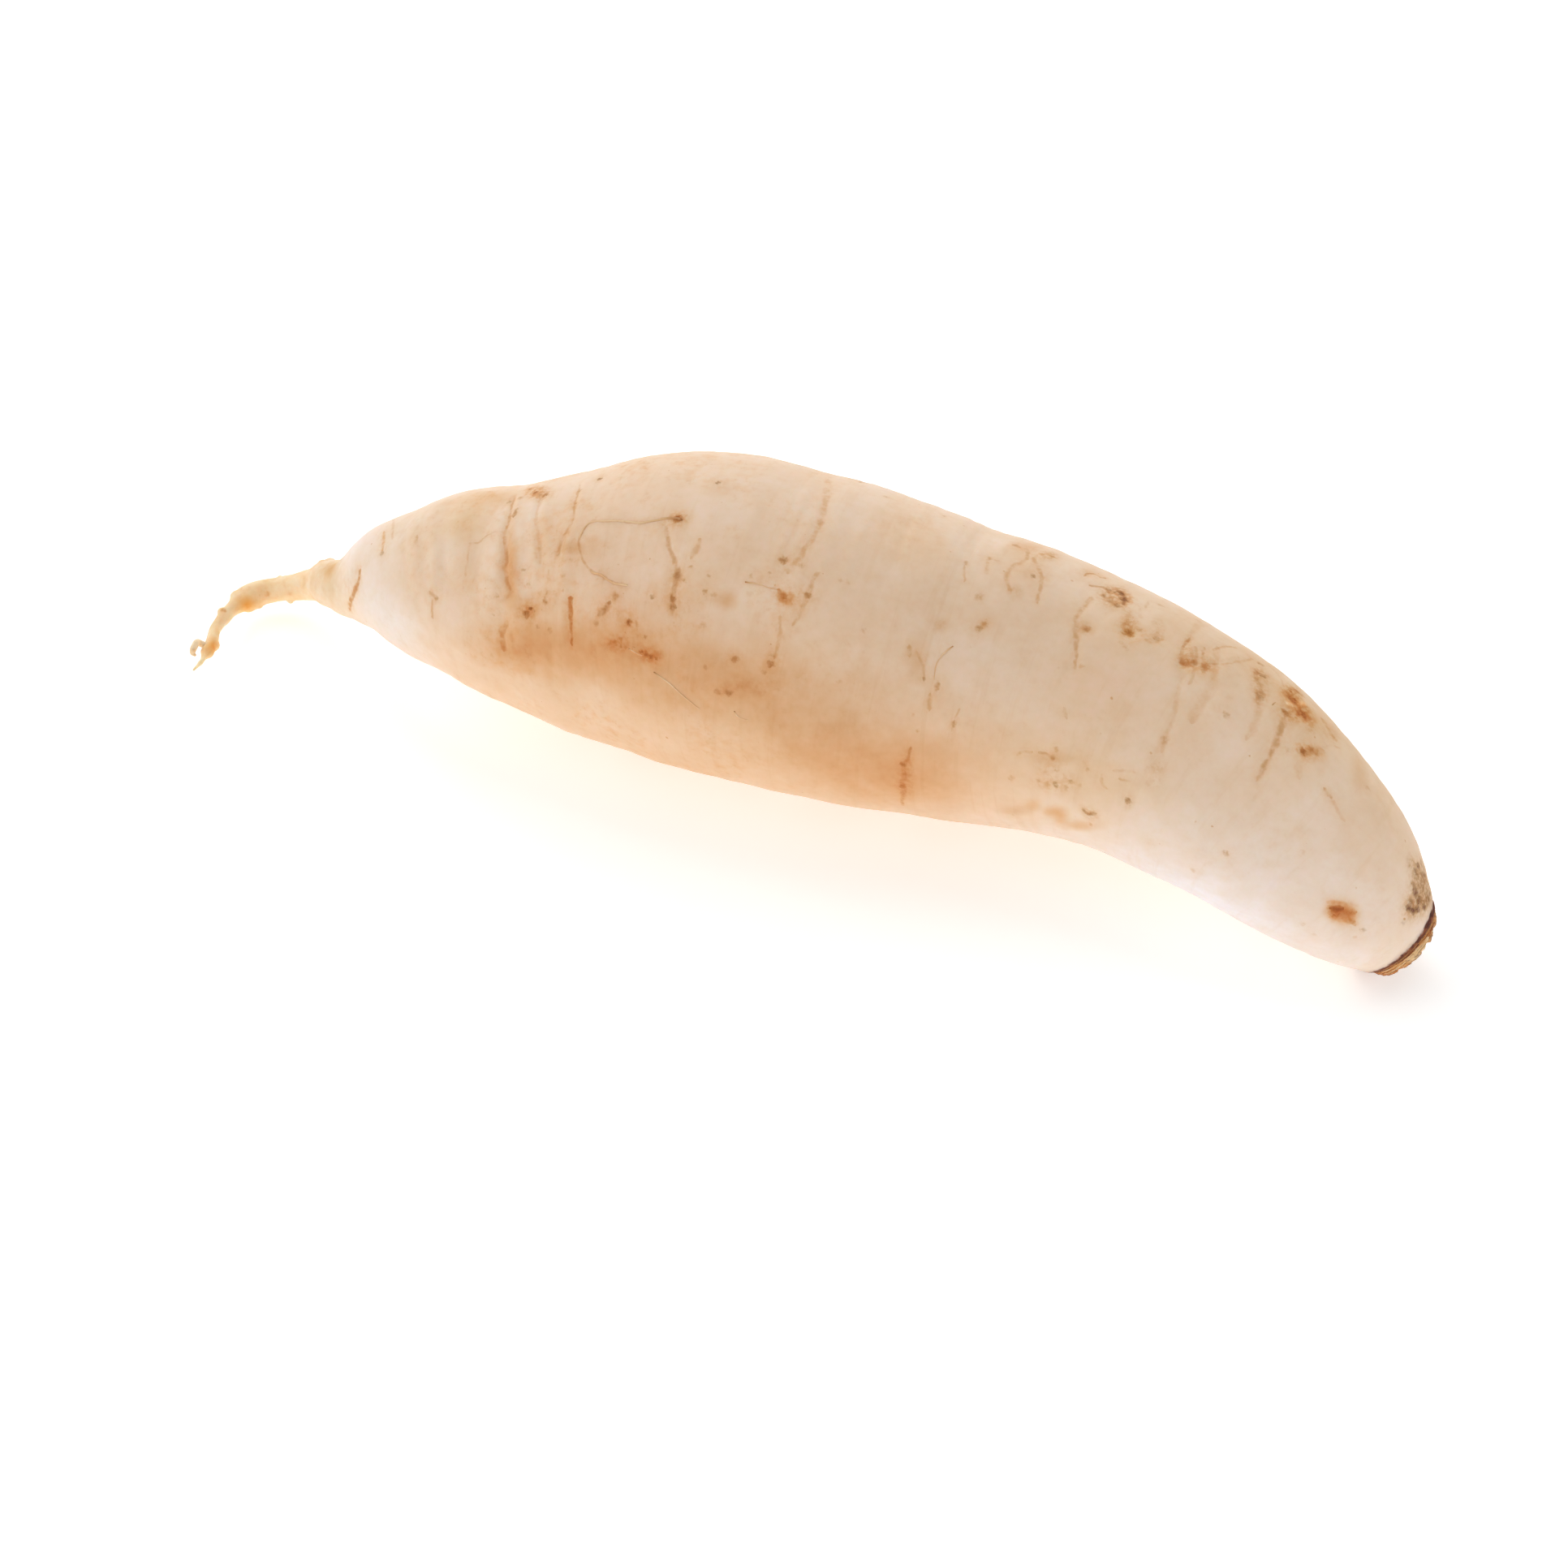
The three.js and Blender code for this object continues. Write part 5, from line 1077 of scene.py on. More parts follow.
def crown_scales():
    """Thin dry leaf-base scales round the edge of the crown, between and in front of the stubs."""
    rng = np.random.RandomState(77)
    pts_all, faces_all, st_all = [], [], []
    layers = [(10.80, 0.75, 1.2, 8, 0.30), (10.50, 1.2, 1.7, 7, 0.52), (10.22, 1.6, 2.2, 8, 0.38), (9.98, 2.0, 2.9, 7, 0.56), (7.25, 2.6, 3.9, 7, 0.55), (4.35, 3.4, 4.5, 5, 0.6)]
    cr_all = []
    for li, (rad, h0, h1, count, tint) in enumerate(layers):
        turn0 = rng.uniform(0, 360)
        for c in range(count):
            width = 360 / count * rng.uniform(0.95, 1.35)
            mid_a = math.radians(turn0 + 360 * c / count + rng.uniform(-5, 5))
            tall = rng.uniform(h0, h1)
            half_w = math.radians(width / 2)
            n, m = 34, 9
            off = rng.uniform(0, 40, 3)
            t = np.linspace(-1, 1, n)
            a = mid_a + half_w * t
            top_h = tall * (1 - 0.50 * np.abs(t) ** 4) * (1 + 0.16 * NOISE[1](np.stack([t * 2.6, t * 0, t * 0], 1) + off) + 0.10 * NOISE[2](np.stack([t * 9, t * 0, t * 0], 1) + off))
            thick = 0.26 * (1 - 0.5 * np.abs(t) ** 3)
            foot = dome(min(RIM, rad + 0.3)) - 0.30
            sheets = []
            for sgn in (1, -1):
                for j in range(m):
                    f = j / (m - 1)
                    z = foot + np.maximum(top_h, 0.25) * f
                    rr = rad + sgn * thick * (1 - 0.65 * f) * 0.5 + 0.16 * f * f * np.sin(t * 2.1 + c) + 0.16 * NOISE[3](np.stack([t * 4, t * 0 + f * 1.2, t * 0 + li], 1) + off) \
                        + 0.05 * NOISE[4](np.stack([t * 16, t * 0 + f * 0.8, t * 0], 1) + off) + 0.10 * (z - foot) * (0.8 if li < 3 else 0.25)
                    sheets.append((sgn, j, np.column_stack([rr * np.cos(a), rr * np.sin(a), z])))
            outer_s = [p for sg, j, p in sheets if sg > 0]
            inner_s = [p for sg, j, p in sheets if sg < 0][::-1]
            loop = outer_s + inner_s
            rows = len(loop)
            allp = np.vstack(loop)
            polys = []
            for i in range(rows):
                i2 = (i + 1) % rows
                for j in range(n - 1):
                    polys.append((i * n + j, i * n + j + 1, i2 * n + j + 1, i2 * n + j))
            polys.append(tuple(i * n for i in range(rows)))
            polys.append(tuple(i * n + n - 1 for i in reversed(range(rows))))
            world = crown_to_world(allp)
            polys = turned_out(world, polys)
            base = sum(len(x) for x in pts_all)
            pts_all.append(world)
            faces_all += [tuple(i + base for i in g) for g in polys]
            hgt = (allp[:, 2] - foot) / max(tall, 0.3)
            st_all.append(np.column_stack([hgt, np.tile(a * rad, rows), np.full(len(allp), rng.uniform())]))
            cr_all.append(crown_values(allp, tint + rng.uniform(-0.14, 0.14)))
    ob = mesh_object("crown_leaf_scales", np.vstack(pts_all), faces_all)
    st = np.vstack(st_all)
    put(ob.data, "stub", st)
    put(ob.data, "stub_kind", np.full(len(st), 0.25))
    put(ob.data, "crown", np.vstack(cr_all))
    return ob


scales = crown_scales()


def bud_piece():
    """The cut heart of the leaf tuft: small overlapping pointed leaf bases round a core."""
    rng = np.random.RandomState(9)
    pts_all, faces_all, st_all, cr_all = [], [], [], []
    specs = [(0.0, 0.0, 0.72, 4.75)] + [(0.62, k * 72 + 10, 0.62, 4.35 - 0.12 * k) for k in range(5)] + [(1.05, k * 60 + 38, 0.50, 3.5 + 0.25 * (k % 3)) for k in range(6)]
    for idx, (dist, ang, rad, tall) in enumerate(specs):
        n, m = 20, 12
        t = np.arange(n) / n * 2 * math.pi
        off = rng.uniform(0, 40, 3)
        cx, cy = dist * math.cos(math.radians(ang)), dist * math.sin(math.radians(ang))
        foot = CROWN_DOME - 0.25
        rows = []
        for j in range(m):
            f = j / (m - 1)
            r = rad * (1 - 0.10 * f) * (1.0 if f < 0.8 else 1 - 0.9 * ((f - 0.8) / 0.2) ** 1.6 * 0.55)
            r = r * (1 + 0.13 * NOISE[2](np.stack([np.cos(t) * 2.2, np.sin(t) * 2.2, t * 0 + f * 0.8], 1) + off))
            z = foot + (tall - foot) * f + (0.14 * NOISE[3](np.stack([np.cos(t) * 2, np.sin(t) * 2, t * 0], 1) + off) if f > 0.6 else 0)
            lean = 0.18 * f
            rows.append(np.column_stack([cx * (1 + lean) + r * np.cos(t), cy * (1 + lean) + r * np.sin(t), z + t * 0]))
        allp = np.vstack(rows + [rows[-1].mean(0, keepdims=True) + [[0, 0, -0.10]]])
        polys = []
        for i in range(m - 1):
            for j in range(n):
                polys.append((i * n + j, i * n + (j + 1) % n, (i + 1) * n + (j + 1) % n, (i + 1) * n + j))
        for j in range(n):
            polys.append(((m - 1) * n + j, (m - 1) * n + (j + 1) % n, m * n))
        polys.append(tuple(reversed(range(n))))
        world = crown_to_world(allp)
        polys = turned_out(world, polys)
        base = sum(len(x) for x in pts_all)
        pts_all.append(world)
        faces_all += [tuple(i + base for i in g) for g in polys]
        st_all.append(np.column_stack([(allp[:, 2] - foot) / (tall - foot), np.r_[np.tile(t * rad, m), 0], np.full(len(allp), rng.uniform())]))
        cr_all.append(crown_values(allp, 0.62 + rng.uniform(-0.12, 0.12)))
    ob = mesh_object("central_bud_leaves", np.vstack(pts_all), faces_all)
    st = np.vstack(st_all)
    put(ob.data, "stub", st)
    put(ob.data, "stub_kind", np.full(len(st), 1.0))
    put(ob.data, "crown", np.vstack(cr_all))
    return ob


bud = bud_piece()


# ------------------------------------------------------------------- materials
def rgb(r, g, b):
    """An 8-bit screen colour as a linear colour."""
    def f(c):
        c /= 255.0
        return c / 12.92 if c <= 0.04045 else ((c + 0.055) / 1.055) ** 2.4
    return (f(r), f(g), f(b), 1.0)


class Shader:
    """Short names for the nodes of one material."""

    def __init__(self, name):
        self.mat = bpy.data.materials.new(name)
        self.mat.use_nodes = True
        self.tree = self.mat.node_tree
        self.tree.nodes.clear()
        self.out = self.tree.nodes.new("ShaderNodeOutputMaterial")
        self.bsdf = self.tree.nodes.new("ShaderNodeBsdfPrincipled")
        self.tree.links.new(self.bsdf.outputs[0], self.out.inputs["Surface"])

    def set(self, socket, value):
        if isinstance(value, bpy.types.NodeSocket):
            self.tree.links.new(value, socket)
        else:
            socket.default_value = value

    def math(self, op, a, b=None, c=None, clamp=False):
        n = self.tree.nodes.new("ShaderNodeMath")
        n.operation = op
        n.use_clamp = clamp
        for i, v in enumerate((a, b, c)):
            if v is not None:
                self.set(n.inputs[i], v)
        return n.outputs[0]

    def mul(self, a, b): return self.math("MULTIPLY", a, b)
    def add(self, a, b): return self.math("ADD", a, b)
    def sub(self, a, b): return self.math("SUBTRACT", a, b)
    def big(self, a, b): return self.math("MAXIMUM", a, b)
    def sat(self, a): return self.math("MULTIPLY", a, 1.0, clamp=True)

    def scaled(self, v, by):
        n = self.tree.nodes.new("ShaderNodeVectorMath")
        n.operation = "MULTIPLY"
        self.set(n.inputs[0], v)
        n.inputs[1].default_value = by if isinstance(by, (tuple, list)) else (by, by, by)
        return n.outputs[0]

    def plus(self, v, w):
        n = self.tree.nodes.new("ShaderNodeVectorMath")
        n.operation = "ADD"
        self.set(n.inputs[0], v)
        self.set(n.inputs[1], w)
        return n.outputs[0]

    def split(self, v):
        n = self.tree.nodes.new("ShaderNodeSeparateXYZ")
        self.set(n.inputs[0], v)
        return n.outputs[0], n.outputs[1], n.outputs[2]

    def noise(self, v, scale=1.0, detail=2.0, rough=0.5, distort=0.0, color=False):
        n = self.tree.nodes.new("ShaderNodeTexNoise")
        self.set(n.inputs["Vector"], v)
        n.inputs["Scale"].default_value = scale
        n.inputs["Detail"].default_value = detail
        n.inputs["Roughness"].default_value = rough
        n.inputs["Distortion"].default_value = distort
        return n.outputs["Color" if color else "Fac"]

    def cells(self, v, scale=1.0, feature="F1", what="Distance", rand=1.0):
        n = self.tree.nodes.new("ShaderNodeTexVoronoi")
        n.feature = feature
        self.set(n.inputs["Vector"], v)
        n.inputs["Scale"].default_value = scale
        n.inputs["Randomness"].default_value = rand
        return n.outputs[what]

    def step(self, x, lo, hi, a=0.0, b=1.0):
        n = self.tree.nodes.new("ShaderNodeMapRange")
        n.interpolation_type = "SMOOTHSTEP"
        self.set(n.inputs["Value"], x)
        self.set(n.inputs["From Min"], lo)
        self.set(n.inputs["From Max"], hi)
        n.inputs["To Min"].default_value = a
        n.inputs["To Max"].default_value = b
        return n.outputs[0]

    def mix(self, fac, a, b, blend="MIX"):
        n = self.tree.nodes.new("ShaderNodeMix")
        n.data_type = "RGBA"
        n.blend_type = blend
        self.set(n.inputs[0], fac)
        self.set(n.inputs[6], a)
        self.set(n.inputs[7], b)
        return n.outputs[2]

    def ramp(self, x, stops):
        n = self.tree.nodes.new("ShaderNodeValToRGB")
        r = n.color_ramp
        r.elements[0].position, r.elements[0].color = stops[0]
        r.elements[1].position, r.elements[1].color = stops[-1]
        for p, c in stops[1:-1]:
            e = r.elements.new(p)
            e.color = c
        self.set(n.inputs[0], x)
        return n.outputs[0]

    def attr(self, name, what="Vector"):
        n = self.tree.nodes.new("ShaderNodeAttribute")
        n.attribute_name = name
        return n.outputs[what]

    def place(self):
        n = self.tree.nodes.new("ShaderNodeTexCoord")
        return self.scaled(n.outputs["Object"], 1000.0)

    def bump(self, height_mm, strength=1.0, under=None):
        n = self.tree.nodes.new("ShaderNodeBump")
        n.inputs["Strength"].default_value = strength
        n.inputs["Distance"].default_value = 0.001
        self.set(n.inputs["Height"], height_mm)
        if under is not None:
            self.set(n.inputs["Normal"], under)
        return n.outputs[0]


def skin_material():
    """Cream skin whose stains take light away channel by channel, as thin soil and dry cork do; some tints and belly
    patches are painted shade and painted light.
    """
    g = Shader("root_skin_finish")
    p = g.place()
    rc = g.attr("ring_co")
    s_mm, unused_y, unused_z = g.split(rc)
    rim_d, tail_v, band_v = g.split(g.attr("zone"))
    soft, grit, halo = g.split(g.attr("stain"))
    soft_t, grit_t, halo_t = g.split(g.attr("stain_tone"))
    # the tint attribute holds the broad tints, among them painted shade on the belly and beside the folds and painted
    # light underneath
    tint_r, tint_g, tint_b = g.split(g.attr("tint"))
    body = g.step(rim_d, -0.06, 0.06)

    slow = g.noise(p, 1 / 30, 2.0, 0.5)
    mid = g.noise(p, 1 / 8.5, 3.0, 0.55)
    fine = g.noise(p, 1 / 2.1, 3.0, 0.62)
    n1 = g.noise(g.plus(p, (70.0, 3.0, 9.0)), 1 / 1.25, 3.0, 0.6)
    w1, w2, w3 = g.split(g.noise(p, 1 / 1.15, 2.0, 0.55, color=True))
    v1, v2, v3 = g.split(g.noise(g.plus(p, (21.0, 3.0, 52.0)), 1 / 2.7, 2.0, 0.5, color=True))

    # the ground: slow drifts, soft mottling, fine freckles, faint rings, pores
    dens = g.mul(g.sub(slow, 0.5), 0.12)
    dens = g.add(dens, g.mul(g.sub(mid, 0.5), 0.14))
    dens = g.add(dens, g.mul(g.sub(fine, 0.5), 0.10))
    lay = g.noise(g.plus(p, (40.0, 7.0, 3.0)), 1 / 17, 2.0, 0.55)
    where = g.step(lay, 0.40, 0.64)
    mott = g.mul(g.step(g.add(g.mul(v1, 0.75), g.mul(n1, 0.25)), 0.40, 0.70), where)
    left = g.mul(g.step(s_mm, 150.0, 245.0, 1.0, 0.0), g.step(s_mm, 92.0, 122.0))
    dens = g.add(dens, g.mul(g.mul(mott, g.add(0.25, left)), 0.10))
    ring1 = g.noise(g.scaled(rc, (0.40, 0.050, 0.050)), 1.0, 3.0, 0.6)
    dens = g.add(dens, g.mul(g.mul(g.step(ring1, 0.53, 0.70), g.add(g.mul(g.step(s_mm, 82.0, 98.0), 0.75), g.mul(g.step(s_mm, 110.0, 170.0), 0.25))), 0.035))
    freck = g.step(g.add(fine, g.mul(g.sub(w1, 0.5), 0.55)), 0.585, 0.70)
    dens = g.add(dens, g.mul(g.mul(freck, g.mul(g.add(0.25, where), g.add(0.35, left))), 0.04))
    ochre = g.mul(g.mul(mott, left), 0.10)
    pv = g.plus(p, g.scaled(g.noise(p, 0.7, 1.0, 0.5, color=True), 0.9))
    vor = g.tree.nodes.new("ShaderNodeTexVoronoi")
    g.set(vor.inputs["Vector"], pv)
    vor.inputs["Scale"].default_value = 1 / 4.2
    pc, pc2, pc3 = g.split(vor.outputs["Color"])
    pr = g.add(0.035, g.mul(pc2, 0.055))
    pore = g.mul(g.step(g.math("DIVIDE", vor.outputs["Distance"], pr), 0.5, 1.25, 1.0, 0.0), g.step(pc, 0.52, 0.60))
    dens = g.add(dens, g.mul(g.mul(pore, g.add(0.25, pc3)), 0.30))
    tone = g.mul(g.sub(dens, g.mul(ochre, 0.8)), 0.26)

    # soft and gritty stains, and the halo round each mark
    k = g.add(0.55, g.mul(mid, 0.9))
    # soft stains include the 'w' belly patches, which are painted shade and warm reflected light from a neighbouring
    # root
    dens = g.add(dens, g.mul(soft, k)); tone = g.add(tone, g.mul(soft_t, k))
    gr = g.add(g.add(0.40, g.mul(g.step(n1, 0.40, 0.62), 0.60)), g.mul(g.step(g.add(g.mul(w2, 0.6), g.mul(v3, 0.4)), 0.50, 0.62), 0.80))
    dens = g.add(dens, g.mul(grit, gr)); tone = g.add(tone, g.mul(grit_t, gr))
    k = g.add(0.40, g.mul(g.step(n1, 0.36, 0.66), 0.9))
    dens = g.add(dens, g.mul(halo, k)); tone = g.add(tone, g.mul(halo_t, k))

    # lines
    brk = g.add(0.38, g.mul(g.step(g.add(g.mul(v3, 0.6), g.mul(w3, 0.4)), 0.40, 0.60), 0.98))
    wide = g.add(0.55, g.add(g.mul(v2, 1.0), g.mul(w2, 0.4)))
    wob = g.add(g.mul(g.sub(v1, 0.5), 1.1), g.mul(g.sub(w1, 0.5), 0.35))
    for c in range(N_LINE):
        sd, w, amt = g.split(g.attr("line%d" % c))
        tn = g.attr("line%d_tone" % c, "Fac")
        d = g.math("ABSOLUTE", g.add(sd, wob))
        q = g.math("DIVIDE", d, g.math("MAXIMUM", g.mul(w, wide), 0.02))
        m = g.mul(g.mul(g.step(q, 0.22, 1.50, 1.0, 0.0), g.step(w, 0.0, 0.12)), g.mul(amt, brk))
        dens = g.add(dens, m); tone = g.add(tone, g.mul(m, tn))
    # spots
    wx, wy = g.mul(g.sub(w2, 0.5), 1.6), g.mul(g.sub(w3, 0.5), 1.6)
    for c in range(N_SPOT):
        x, y, r = g.split(g.attr("spot%d" % c))
        tn, amt, unused = g.split(g.attr("spot%d_look" % c))
        x2, y2 = g.add(x, wx), g.add(y, wy)
        q = g.math("DIVIDE", g.math("SQRT", g.add(g.mul(x2, x2), g.mul(y2, y2))), r)
        m = g.mul(g.step(q, 0.22, 1.42, 1.0, 0.0), g.mul(amt, g.add(0.45, g.mul(g.step(w1, 0.34, 0.62), 0.85))))
        dens = g.add(dens, m); tone = g.add(tone, g.mul(m, tn))

    # deep stains level off and brown
    level = g.mul(body, g.math("DIVIDE", 1.0, g.add(1.0, g.mul(g.big(g.sub(dens, 0.45), 0.0), 0.34))))
    dens, tone = g.mul(dens, level), g.mul(tone, level)
    tone = g.add(tone, g.mul(g.big(g.sub(dens, 0.95), 0.0), 0.20))
    red = g.add(tone, tint_r)
    grn = g.add(g.add(g.mul(dens, 0.43), g.mul(tone, 0.53)), g.add(tint_g, g.mul(g.big(g.sub(tone, g.mul(dens, 0.45)), 0.0), 1.0)))
    blu = g.add(dens, tint_b)
    comb = g.tree.nodes.new("ShaderNodeCombineXYZ")
    for i, v in enumerate((red, grn, blu)):
        g.set(comb.inputs[i], g.math("EXPONENT", g.mul(v, -2.2)))
    base = g.mix(g.step(g.noise(g.plus(p, (11.0, 90.0, 5.0)), 1 / 15, 2.0, 0.5), 0.42, 0.66), rgb(238, 207, 176), rgb(240, 212, 185))
    # the tail: more orange, rougher
    tn = g.noise(p, 1 / 3.0, 3.0, 0.6)
    tcol = g.ramp(tn, [(0.25, rgb(245, 208, 156)), (0.48, rgb(250, 219, 175)), (0.72, rgb(252, 230, 196))])
    tcol = g.mix(g.mul(g.step(ring1, 0.54, 0.72), 0.16), tcol, rgb(222, 170, 110))
    base = g.mix(g.mul(tail_v, 0.92), base, tcol)
    col = g.mix(1.0, base, comb.outputs[0], "MULTIPLY")

    # the dark, curled edge of the skin at the crown, and the fibrous cut face inside it
    bn = g.noise(g.scaled(rc, (1.2, 0.42, 0.42)), 1.0, 3.0, 0.6)
    inside = g.step(rim_d, -0.10, 0.05, 1.0, 0.0)
    off = g.sub(g.add(rim_d, g.mul(g.sub(bn, 0.5), 1.1)), band_v)
    bandm = g.step(off, -0.28, 0.30, 1.0, 0.0)
    edge = g.step(off, -0.1, 1.3, 1.0, 0.0)
    col = g.mix(g.mul(edge, 0.40), col, rgb(176, 134, 124))
    dark = g.ramp(g.add(g.mul(bn, 0.6), g.mul(w1, 0.4)), [(0.34, rgb(58, 16, 8)), (0.48, rgb(88, 34, 16)), (0.60, rgb(140, 74, 38))])
    col = g.mix(g.mul(bandm, 0.96), col, dark)
    fib = g.noise(g.scaled(rc, (0.2, 1.6, 1.6)), 1.0, 3.0, 0.65)
    face = g.ramp(g.add(g.mul(fib, 0.6), g.mul(w2, 0.4)), [(0.30, rgb(84, 52, 32)), (0.45, rgb(150, 98, 54)), (0.58, rgb(196, 140, 82)), (0.75, rgb(226, 186, 134))])
    face = g.mix(g.mul(g.step(w3, 0.54, 0.68), 0.6), face, rgb(78, 48, 32))
    col = g.mix(inside, col, face)

    rough = g.add(g.add(0.50, g.mul(mid, 0.10)), g.add(g.mul(grit, 0.5), g.add(g.mul(g.big(inside, bandm), 0.4), g.mul(tail_v, 0.10))))
    hf = g.noise(p, 1 / 0.9, 3.0, 0.62)
    h = g.add(g.mul(fine, 0.05), g.mul(hf, 0.03))
    h = g.add(h, g.mul(g.add(g.mul(grit, 0.4), g.mul(tail_v, 0.05)), hf))
    h = g.add(h, g.mul(g.big(inside, bandm), g.mul(hf, 0.25)))
    b = g.bsdf.inputs
    g.set(b["Base Color"], col)
    g.set(b["Roughness"], g.sat(rough))
    g.set(b["Normal"], g.bump(h))
    b["Subsurface Weight"].default_value = 0.35
    b["Subsurface Radius"].default_value = (1.0, 0.46, 0.26)
    b["Subsurface Scale"].default_value = 0.006
    b["IOR"].default_value = 1.42
    b["Specular IOR Level"].default_value = 0.32
    b["Sheen Weight"].default_value = 0.0
    b["Sheen Roughness"].default_value = 0.45
    b["Sheen Tint"].default_value = (1.0, 0.97, 0.94, 1.0)
    return g.mat


def tissue_material():
    """Dry cut leaf-stalk tissue: thin layers with dark edges, fibres along the stalk, paler cut faces."""
    g = Shader("stub_tissue_finish")
    p = g.place()
    h, arc, depth = g.split(g.attr("stub"))
    z, deg, tint = g.split(g.attr("crown"))
    kind = g.attr("stub_kind", "Fac")
    n1 = g.noise(p, 1 / 1.3, 4.0, 0.62)
    n2 = g.noise(g.plus(p, (30.0, 8.0, 4.0)), 1 / 0.5, 3.0, 0.6)
    n3 = g.noise(g.plus(p, (3.0, 28.0, 14.0)), 1 / 3.2, 2.0, 0.5)
    comb = g.tree.nodes.new("ShaderNodeCombineXYZ")
    g.set(comb.inputs[0], g.mul(arc, 2.4)); g.set(comb.inputs[1], g.mul(h, 0.7)); g.set(comb.inputs[2], g.mul(depth, 3.0))
    fib = g.noise(comb.outputs[0], 1.0, 3.0, 0.65)
    comb2 = g.tree.nodes.new("ShaderNodeCombineXYZ")
    g.set(comb2.inputs[0], g.mul(arc, 0.22)); g.set(comb2.inputs[1], g.mul(z, 2.1)); g.set(comb2.inputs[2], g.mul(kind, 7.0))
    lay = g.noise(comb2.outputs[0], 1.0, 2.0, 0.55)
    # the layer's own colour, from dark brown to papery, drifting in bands that follow the rim
    t = g.add(tint, g.add(g.mul(g.sub(lay, 0.5), 0.80), g.mul(g.sub(n1, 0.5), 0.30)))
    col = g.ramp(t, [(0.06, rgb(96, 46, 26)), (0.20, rgb(158, 88, 42)), (0.34, rgb(206, 132, 68)), (0.50, rgb(224, 164, 100)), (0.66, rgb(236, 192, 138)),
                     (0.80, rgb(245, 216, 174)), (0.96, rgb(251, 232, 204))])
    # dark parting lines: painted shadow where one layer ends over the next
    zz = g.add(z, g.add(g.mul(g.sub(n3, 0.5), 0.9), g.mul(g.sub(n1, 0.5), 0.35)))
    part = g.math("PINGPONG", g.add(zz, 0.15), 0.42)
    line = g.mul(g.step(part, 0.0, 0.13, 1.0, 0.0), g.step(n3, 0.42, 0.54))
    col = g.mix(g.mul(line, 0.60), col, rgb(112, 58, 32))
    rimline = g.step(g.add(h, g.mul(g.sub(n2, 0.5), 0.2)), 0.84, 0.97)
    col = g.mix(g.mul(g.mul(rimline, g.step(n3, 0.54, 0.44)), 0.65), col, rgb(112, 66, 38))
    col = g.mix(g.mul(g.mul(rimline, g.step(n3, 0.52, 0.62)), 0.40), col, rgb(246, 220, 184))
    col = g.mix(g.mul(g.step(fib, 0.56, 0.72), 0.30), col, rgb(120, 74, 42))
    col = g.mix(g.mul(g.step(fib, 0.42, 0.30), 0.28), col, rgb(244, 214, 168))
    # the foot of each layer sits in shade and soil
    col = g.mix(g.mul(g.step(g.add(z, g.mul(g.sub(n1, 0.5), 0.6)), 0.55, 0.05), 0.7), col, rgb(92, 42, 24))
    # the cut faces: paler, with brown bundle ends
    cut = g.step(h, 1.12, 1.26)
    cv = g.cells(p, 1 / 0.95)
    cutc = g.ramp(n1, [(0.30, rgb(186, 136, 84)), (0.55, rgb(226, 188, 138)), (0.75, rgb(242, 220, 184))])
    cutc = g.mix(g.mul(g.step(cv, 0.12, 0.34, 1.0, 0.0), 0.75), cutc, rgb(120, 74, 42))
    col = g.mix(g.mul(cut, 0.85), col, cutc)
    col = g.mix(g.mul(g.step(n2, 0.62, 0.80), 0.30), col, rgb(86, 54, 36))
    hgt = g.add(g.mul(fib, 0.12), g.add(g.mul(n2, 0.06), g.add(g.mul(lay, 0.10), g.mul(line, -0.12))))
    b = g.bsdf.inputs
    g.set(b["Base Color"], col)
    g.set(b["Roughness"], g.add(0.62, g.mul(n1, 0.22)))
    g.set(b["Normal"], g.bump(hgt))
    b["Subsurface Weight"].default_value = 0.10
    b["Subsurface Radius"].default_value = (1.0, 0.5, 0.25)
    b["Subsurface Scale"].default_value = 0.0008
    b["Specular IOR Level"].default_value = 0.35
    return g.mat


def rootlet_material():
    g = Shader("rootlet_finish")
    p = g.place()
    al = g.attr("along", "Fac")
    n1 = g.noise(p, 1 / 1.6, 3.0, 0.6)
    col = g.ramp(g.add(al, g.mul(g.sub(n1, 0.5), 0.10)), [(0.0, rgb(178, 118, 66)), (0.05, rgb(200, 148, 98)), (0.11, rgb(220, 176, 126)), (0.30, rgb(234, 200, 158)), (0.52, rgb(232, 192, 148)),
                     (0.70, rgb(232, 188, 140)), (0.92, rgb(226, 178, 128)), (1.0, rgb(238, 204, 160))])
    col = g.mix(g.mul(g.step(n1, 0.52, 0.66), 0.35), col, rgb(214, 168, 118))
    # the hooked side root: cream at its foot, browner towards its end
    col = g.mix(g.step(al, 1.0, 1.04), col, rgb(252, 226, 186))
    col = g.mix(g.step(al, 1.60, 2.0), col, rgb(240, 202, 154))
    b = g.bsdf.inputs
    g.set(b["Base Color"], col)
    g.set(b["Roughness"], g.add(0.5, g.mul(n1, 0.2)))
    g.set(b["Normal"], g.bump(g.mul(g.noise(p, 1 / 0.4, 2.0, 0.6), 0.05)))
    b["Subsurface Weight"].default_value = 0.0
    b["Specular IOR Level"].default_value = 0.30
    return g.mat


SKIN, TISSUE, LET = skin_material(), tissue_material(), rootlet_material()
skin.data.materials.append(SKIN)
rootlets.data.materials.append(LET)
for ob in [scales, bud] + [p for p, _ in stub_pieces]:
    ob.data.materials.append(TISSUE)

# ------------------------------------------------------- the pieces on the part
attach(skin, "root"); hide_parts("taproot")
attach(rootlets, "root")
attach(scales, "root")
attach(bud, "root"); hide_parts("central_bud")
for piece, node in stub_pieces:
    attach(piece, "root"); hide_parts(node)

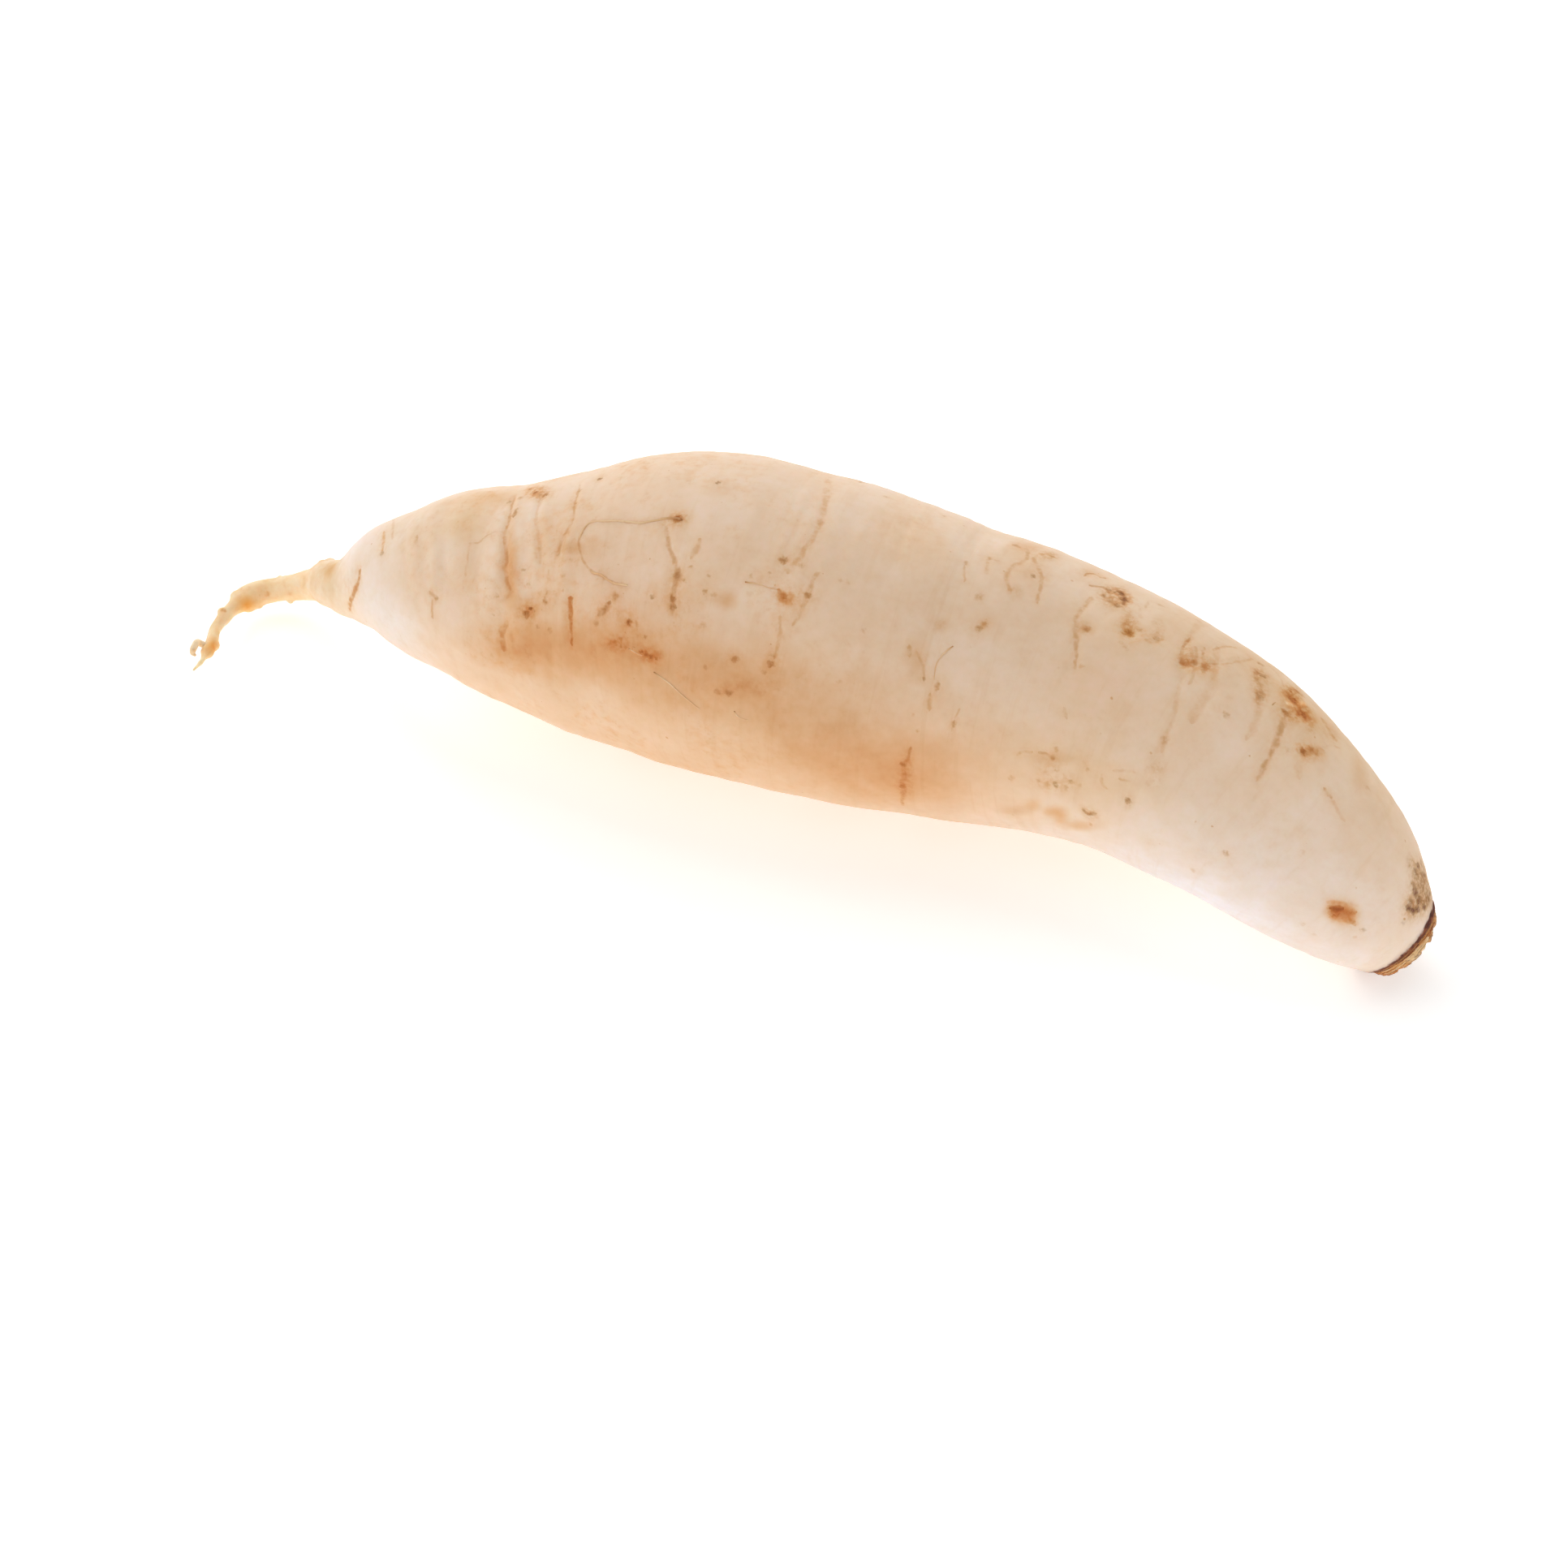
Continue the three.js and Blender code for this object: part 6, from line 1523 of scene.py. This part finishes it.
# ------------------------------------------------------------ floor and lights
floor_mesh = bpy.data.meshes.new("floor")
floor_mesh.from_pydata([(-1.2, -1.2, 0), (1.2, -1.2, 0), (1.2, 1.2, 0), (-1.2, 1.2, 0)], [], [(0, 1, 2, 3)])
floor = bpy.data.objects.new("floor", floor_mesh)
floor.location = (0, 0, -0.0002)
bpy.context.scene.collection.objects.link(floor)
fm = bpy.data.materials.new("floor_paper")
fm.use_nodes = True
fb = fm.node_tree.nodes["Principled BSDF"].inputs
fb["Base Color"].default_value = (0.90, 0.90, 0.90, 1)
fb["Roughness"].default_value = 0.9
fb["Specular IOR Level"].default_value = 0.0
fb["Emission Color"].default_value = (1.0, 1.0, 1.0, 1)
fb["Emission Strength"].default_value = 0.42
floor_mesh.materials.append(fm)

world = bpy.data.worlds.new("studio")
world.use_nodes = True
wt = world.node_tree
wb = wt.nodes["Background"]
wb.inputs[0].default_value = (1.0, 1.0, 1.0, 1.0)
paths = wt.nodes.new("ShaderNodeLightPath")
share = wt.nodes.new("ShaderNodeMapRange")
wt.links.new(paths.outputs["Is Camera Ray"], share.inputs["Value"])
share.inputs["To Min"].default_value = 0.06
share.inputs["To Max"].default_value = 1.0
wt.links.new(share.outputs[0], wb.inputs[1])
bpy.context.scene.world = world


def area(name, place, aim, size, power, colour=(1, 1, 1)):
    light = bpy.data.lights.new(name, "AREA")
    light.shape = "RECTANGLE"
    light.size, light.size_y = size
    light.energy = power
    light.color = colour
    ob = bpy.data.objects.new(name, light)
    ob.location = place
    d = Vector(aim) - Vector(place)
    ob.rotation_mode = "QUATERNION"
    ob.rotation_quaternion = d.to_track_quat("-Z", "Y")
    bpy.context.scene.collection.objects.link(ob)
    return ob


KEY = (0, 0, 0.03)
area("top_soft", (0.1, 0.5, 1.3), KEY, (1.6, 1.0), 7.0)
area("left_soft", (-1.3, -0.2, 0.8), KEY, (1.2, 1.0), 10.4)
area("right_soft", (1.3, 0.0, 0.7), KEY, (1.2, 1.0), 5.5)
area("back_low", (0.0, 1.4, 0.4), KEY, (2.4, 0.6), 8.0)
area("left_back", (-0.9, 1.0, 0.8), KEY, (1.0, 1.0), 5.7)
area("front_low", (0.2, -1.3, 0.3), KEY, (2.0, 0.5), 7.6)

# ---------------------------------------------------------------------- camera
cam = bpy.data.cameras.new("camera")
cam.lens = 85
cam.sensor_width = 36
cam.clip_start, cam.clip_end = 0.05, 20
camera = bpy.data.objects.new("camera", cam)
fwd = Vector((-0.21034, 0.67510, -0.70711)).normalized()
right = Vector((0.95473, 0.29746, 0.0)).normalized()
upv = right.cross(fwd)
rot = Matrix((right, upv, -fwd)).transposed()
camera.matrix_world = Matrix.Translation(Vector((0.190474, -0.634987, 0.652974))) @ rot.to_4x4()
bpy.context.scene.collection.objects.link(camera)
bpy.context.scene.camera = camera

bpy.context.scene.view_settings.view_transform = "Standard"
bpy.context.scene.view_settings.look = "None"
bpy.context.scene.view_settings.exposure = 0.0
bpy.context.scene.view_settings.gamma = 1.0

bpy.context.view_layer.update()
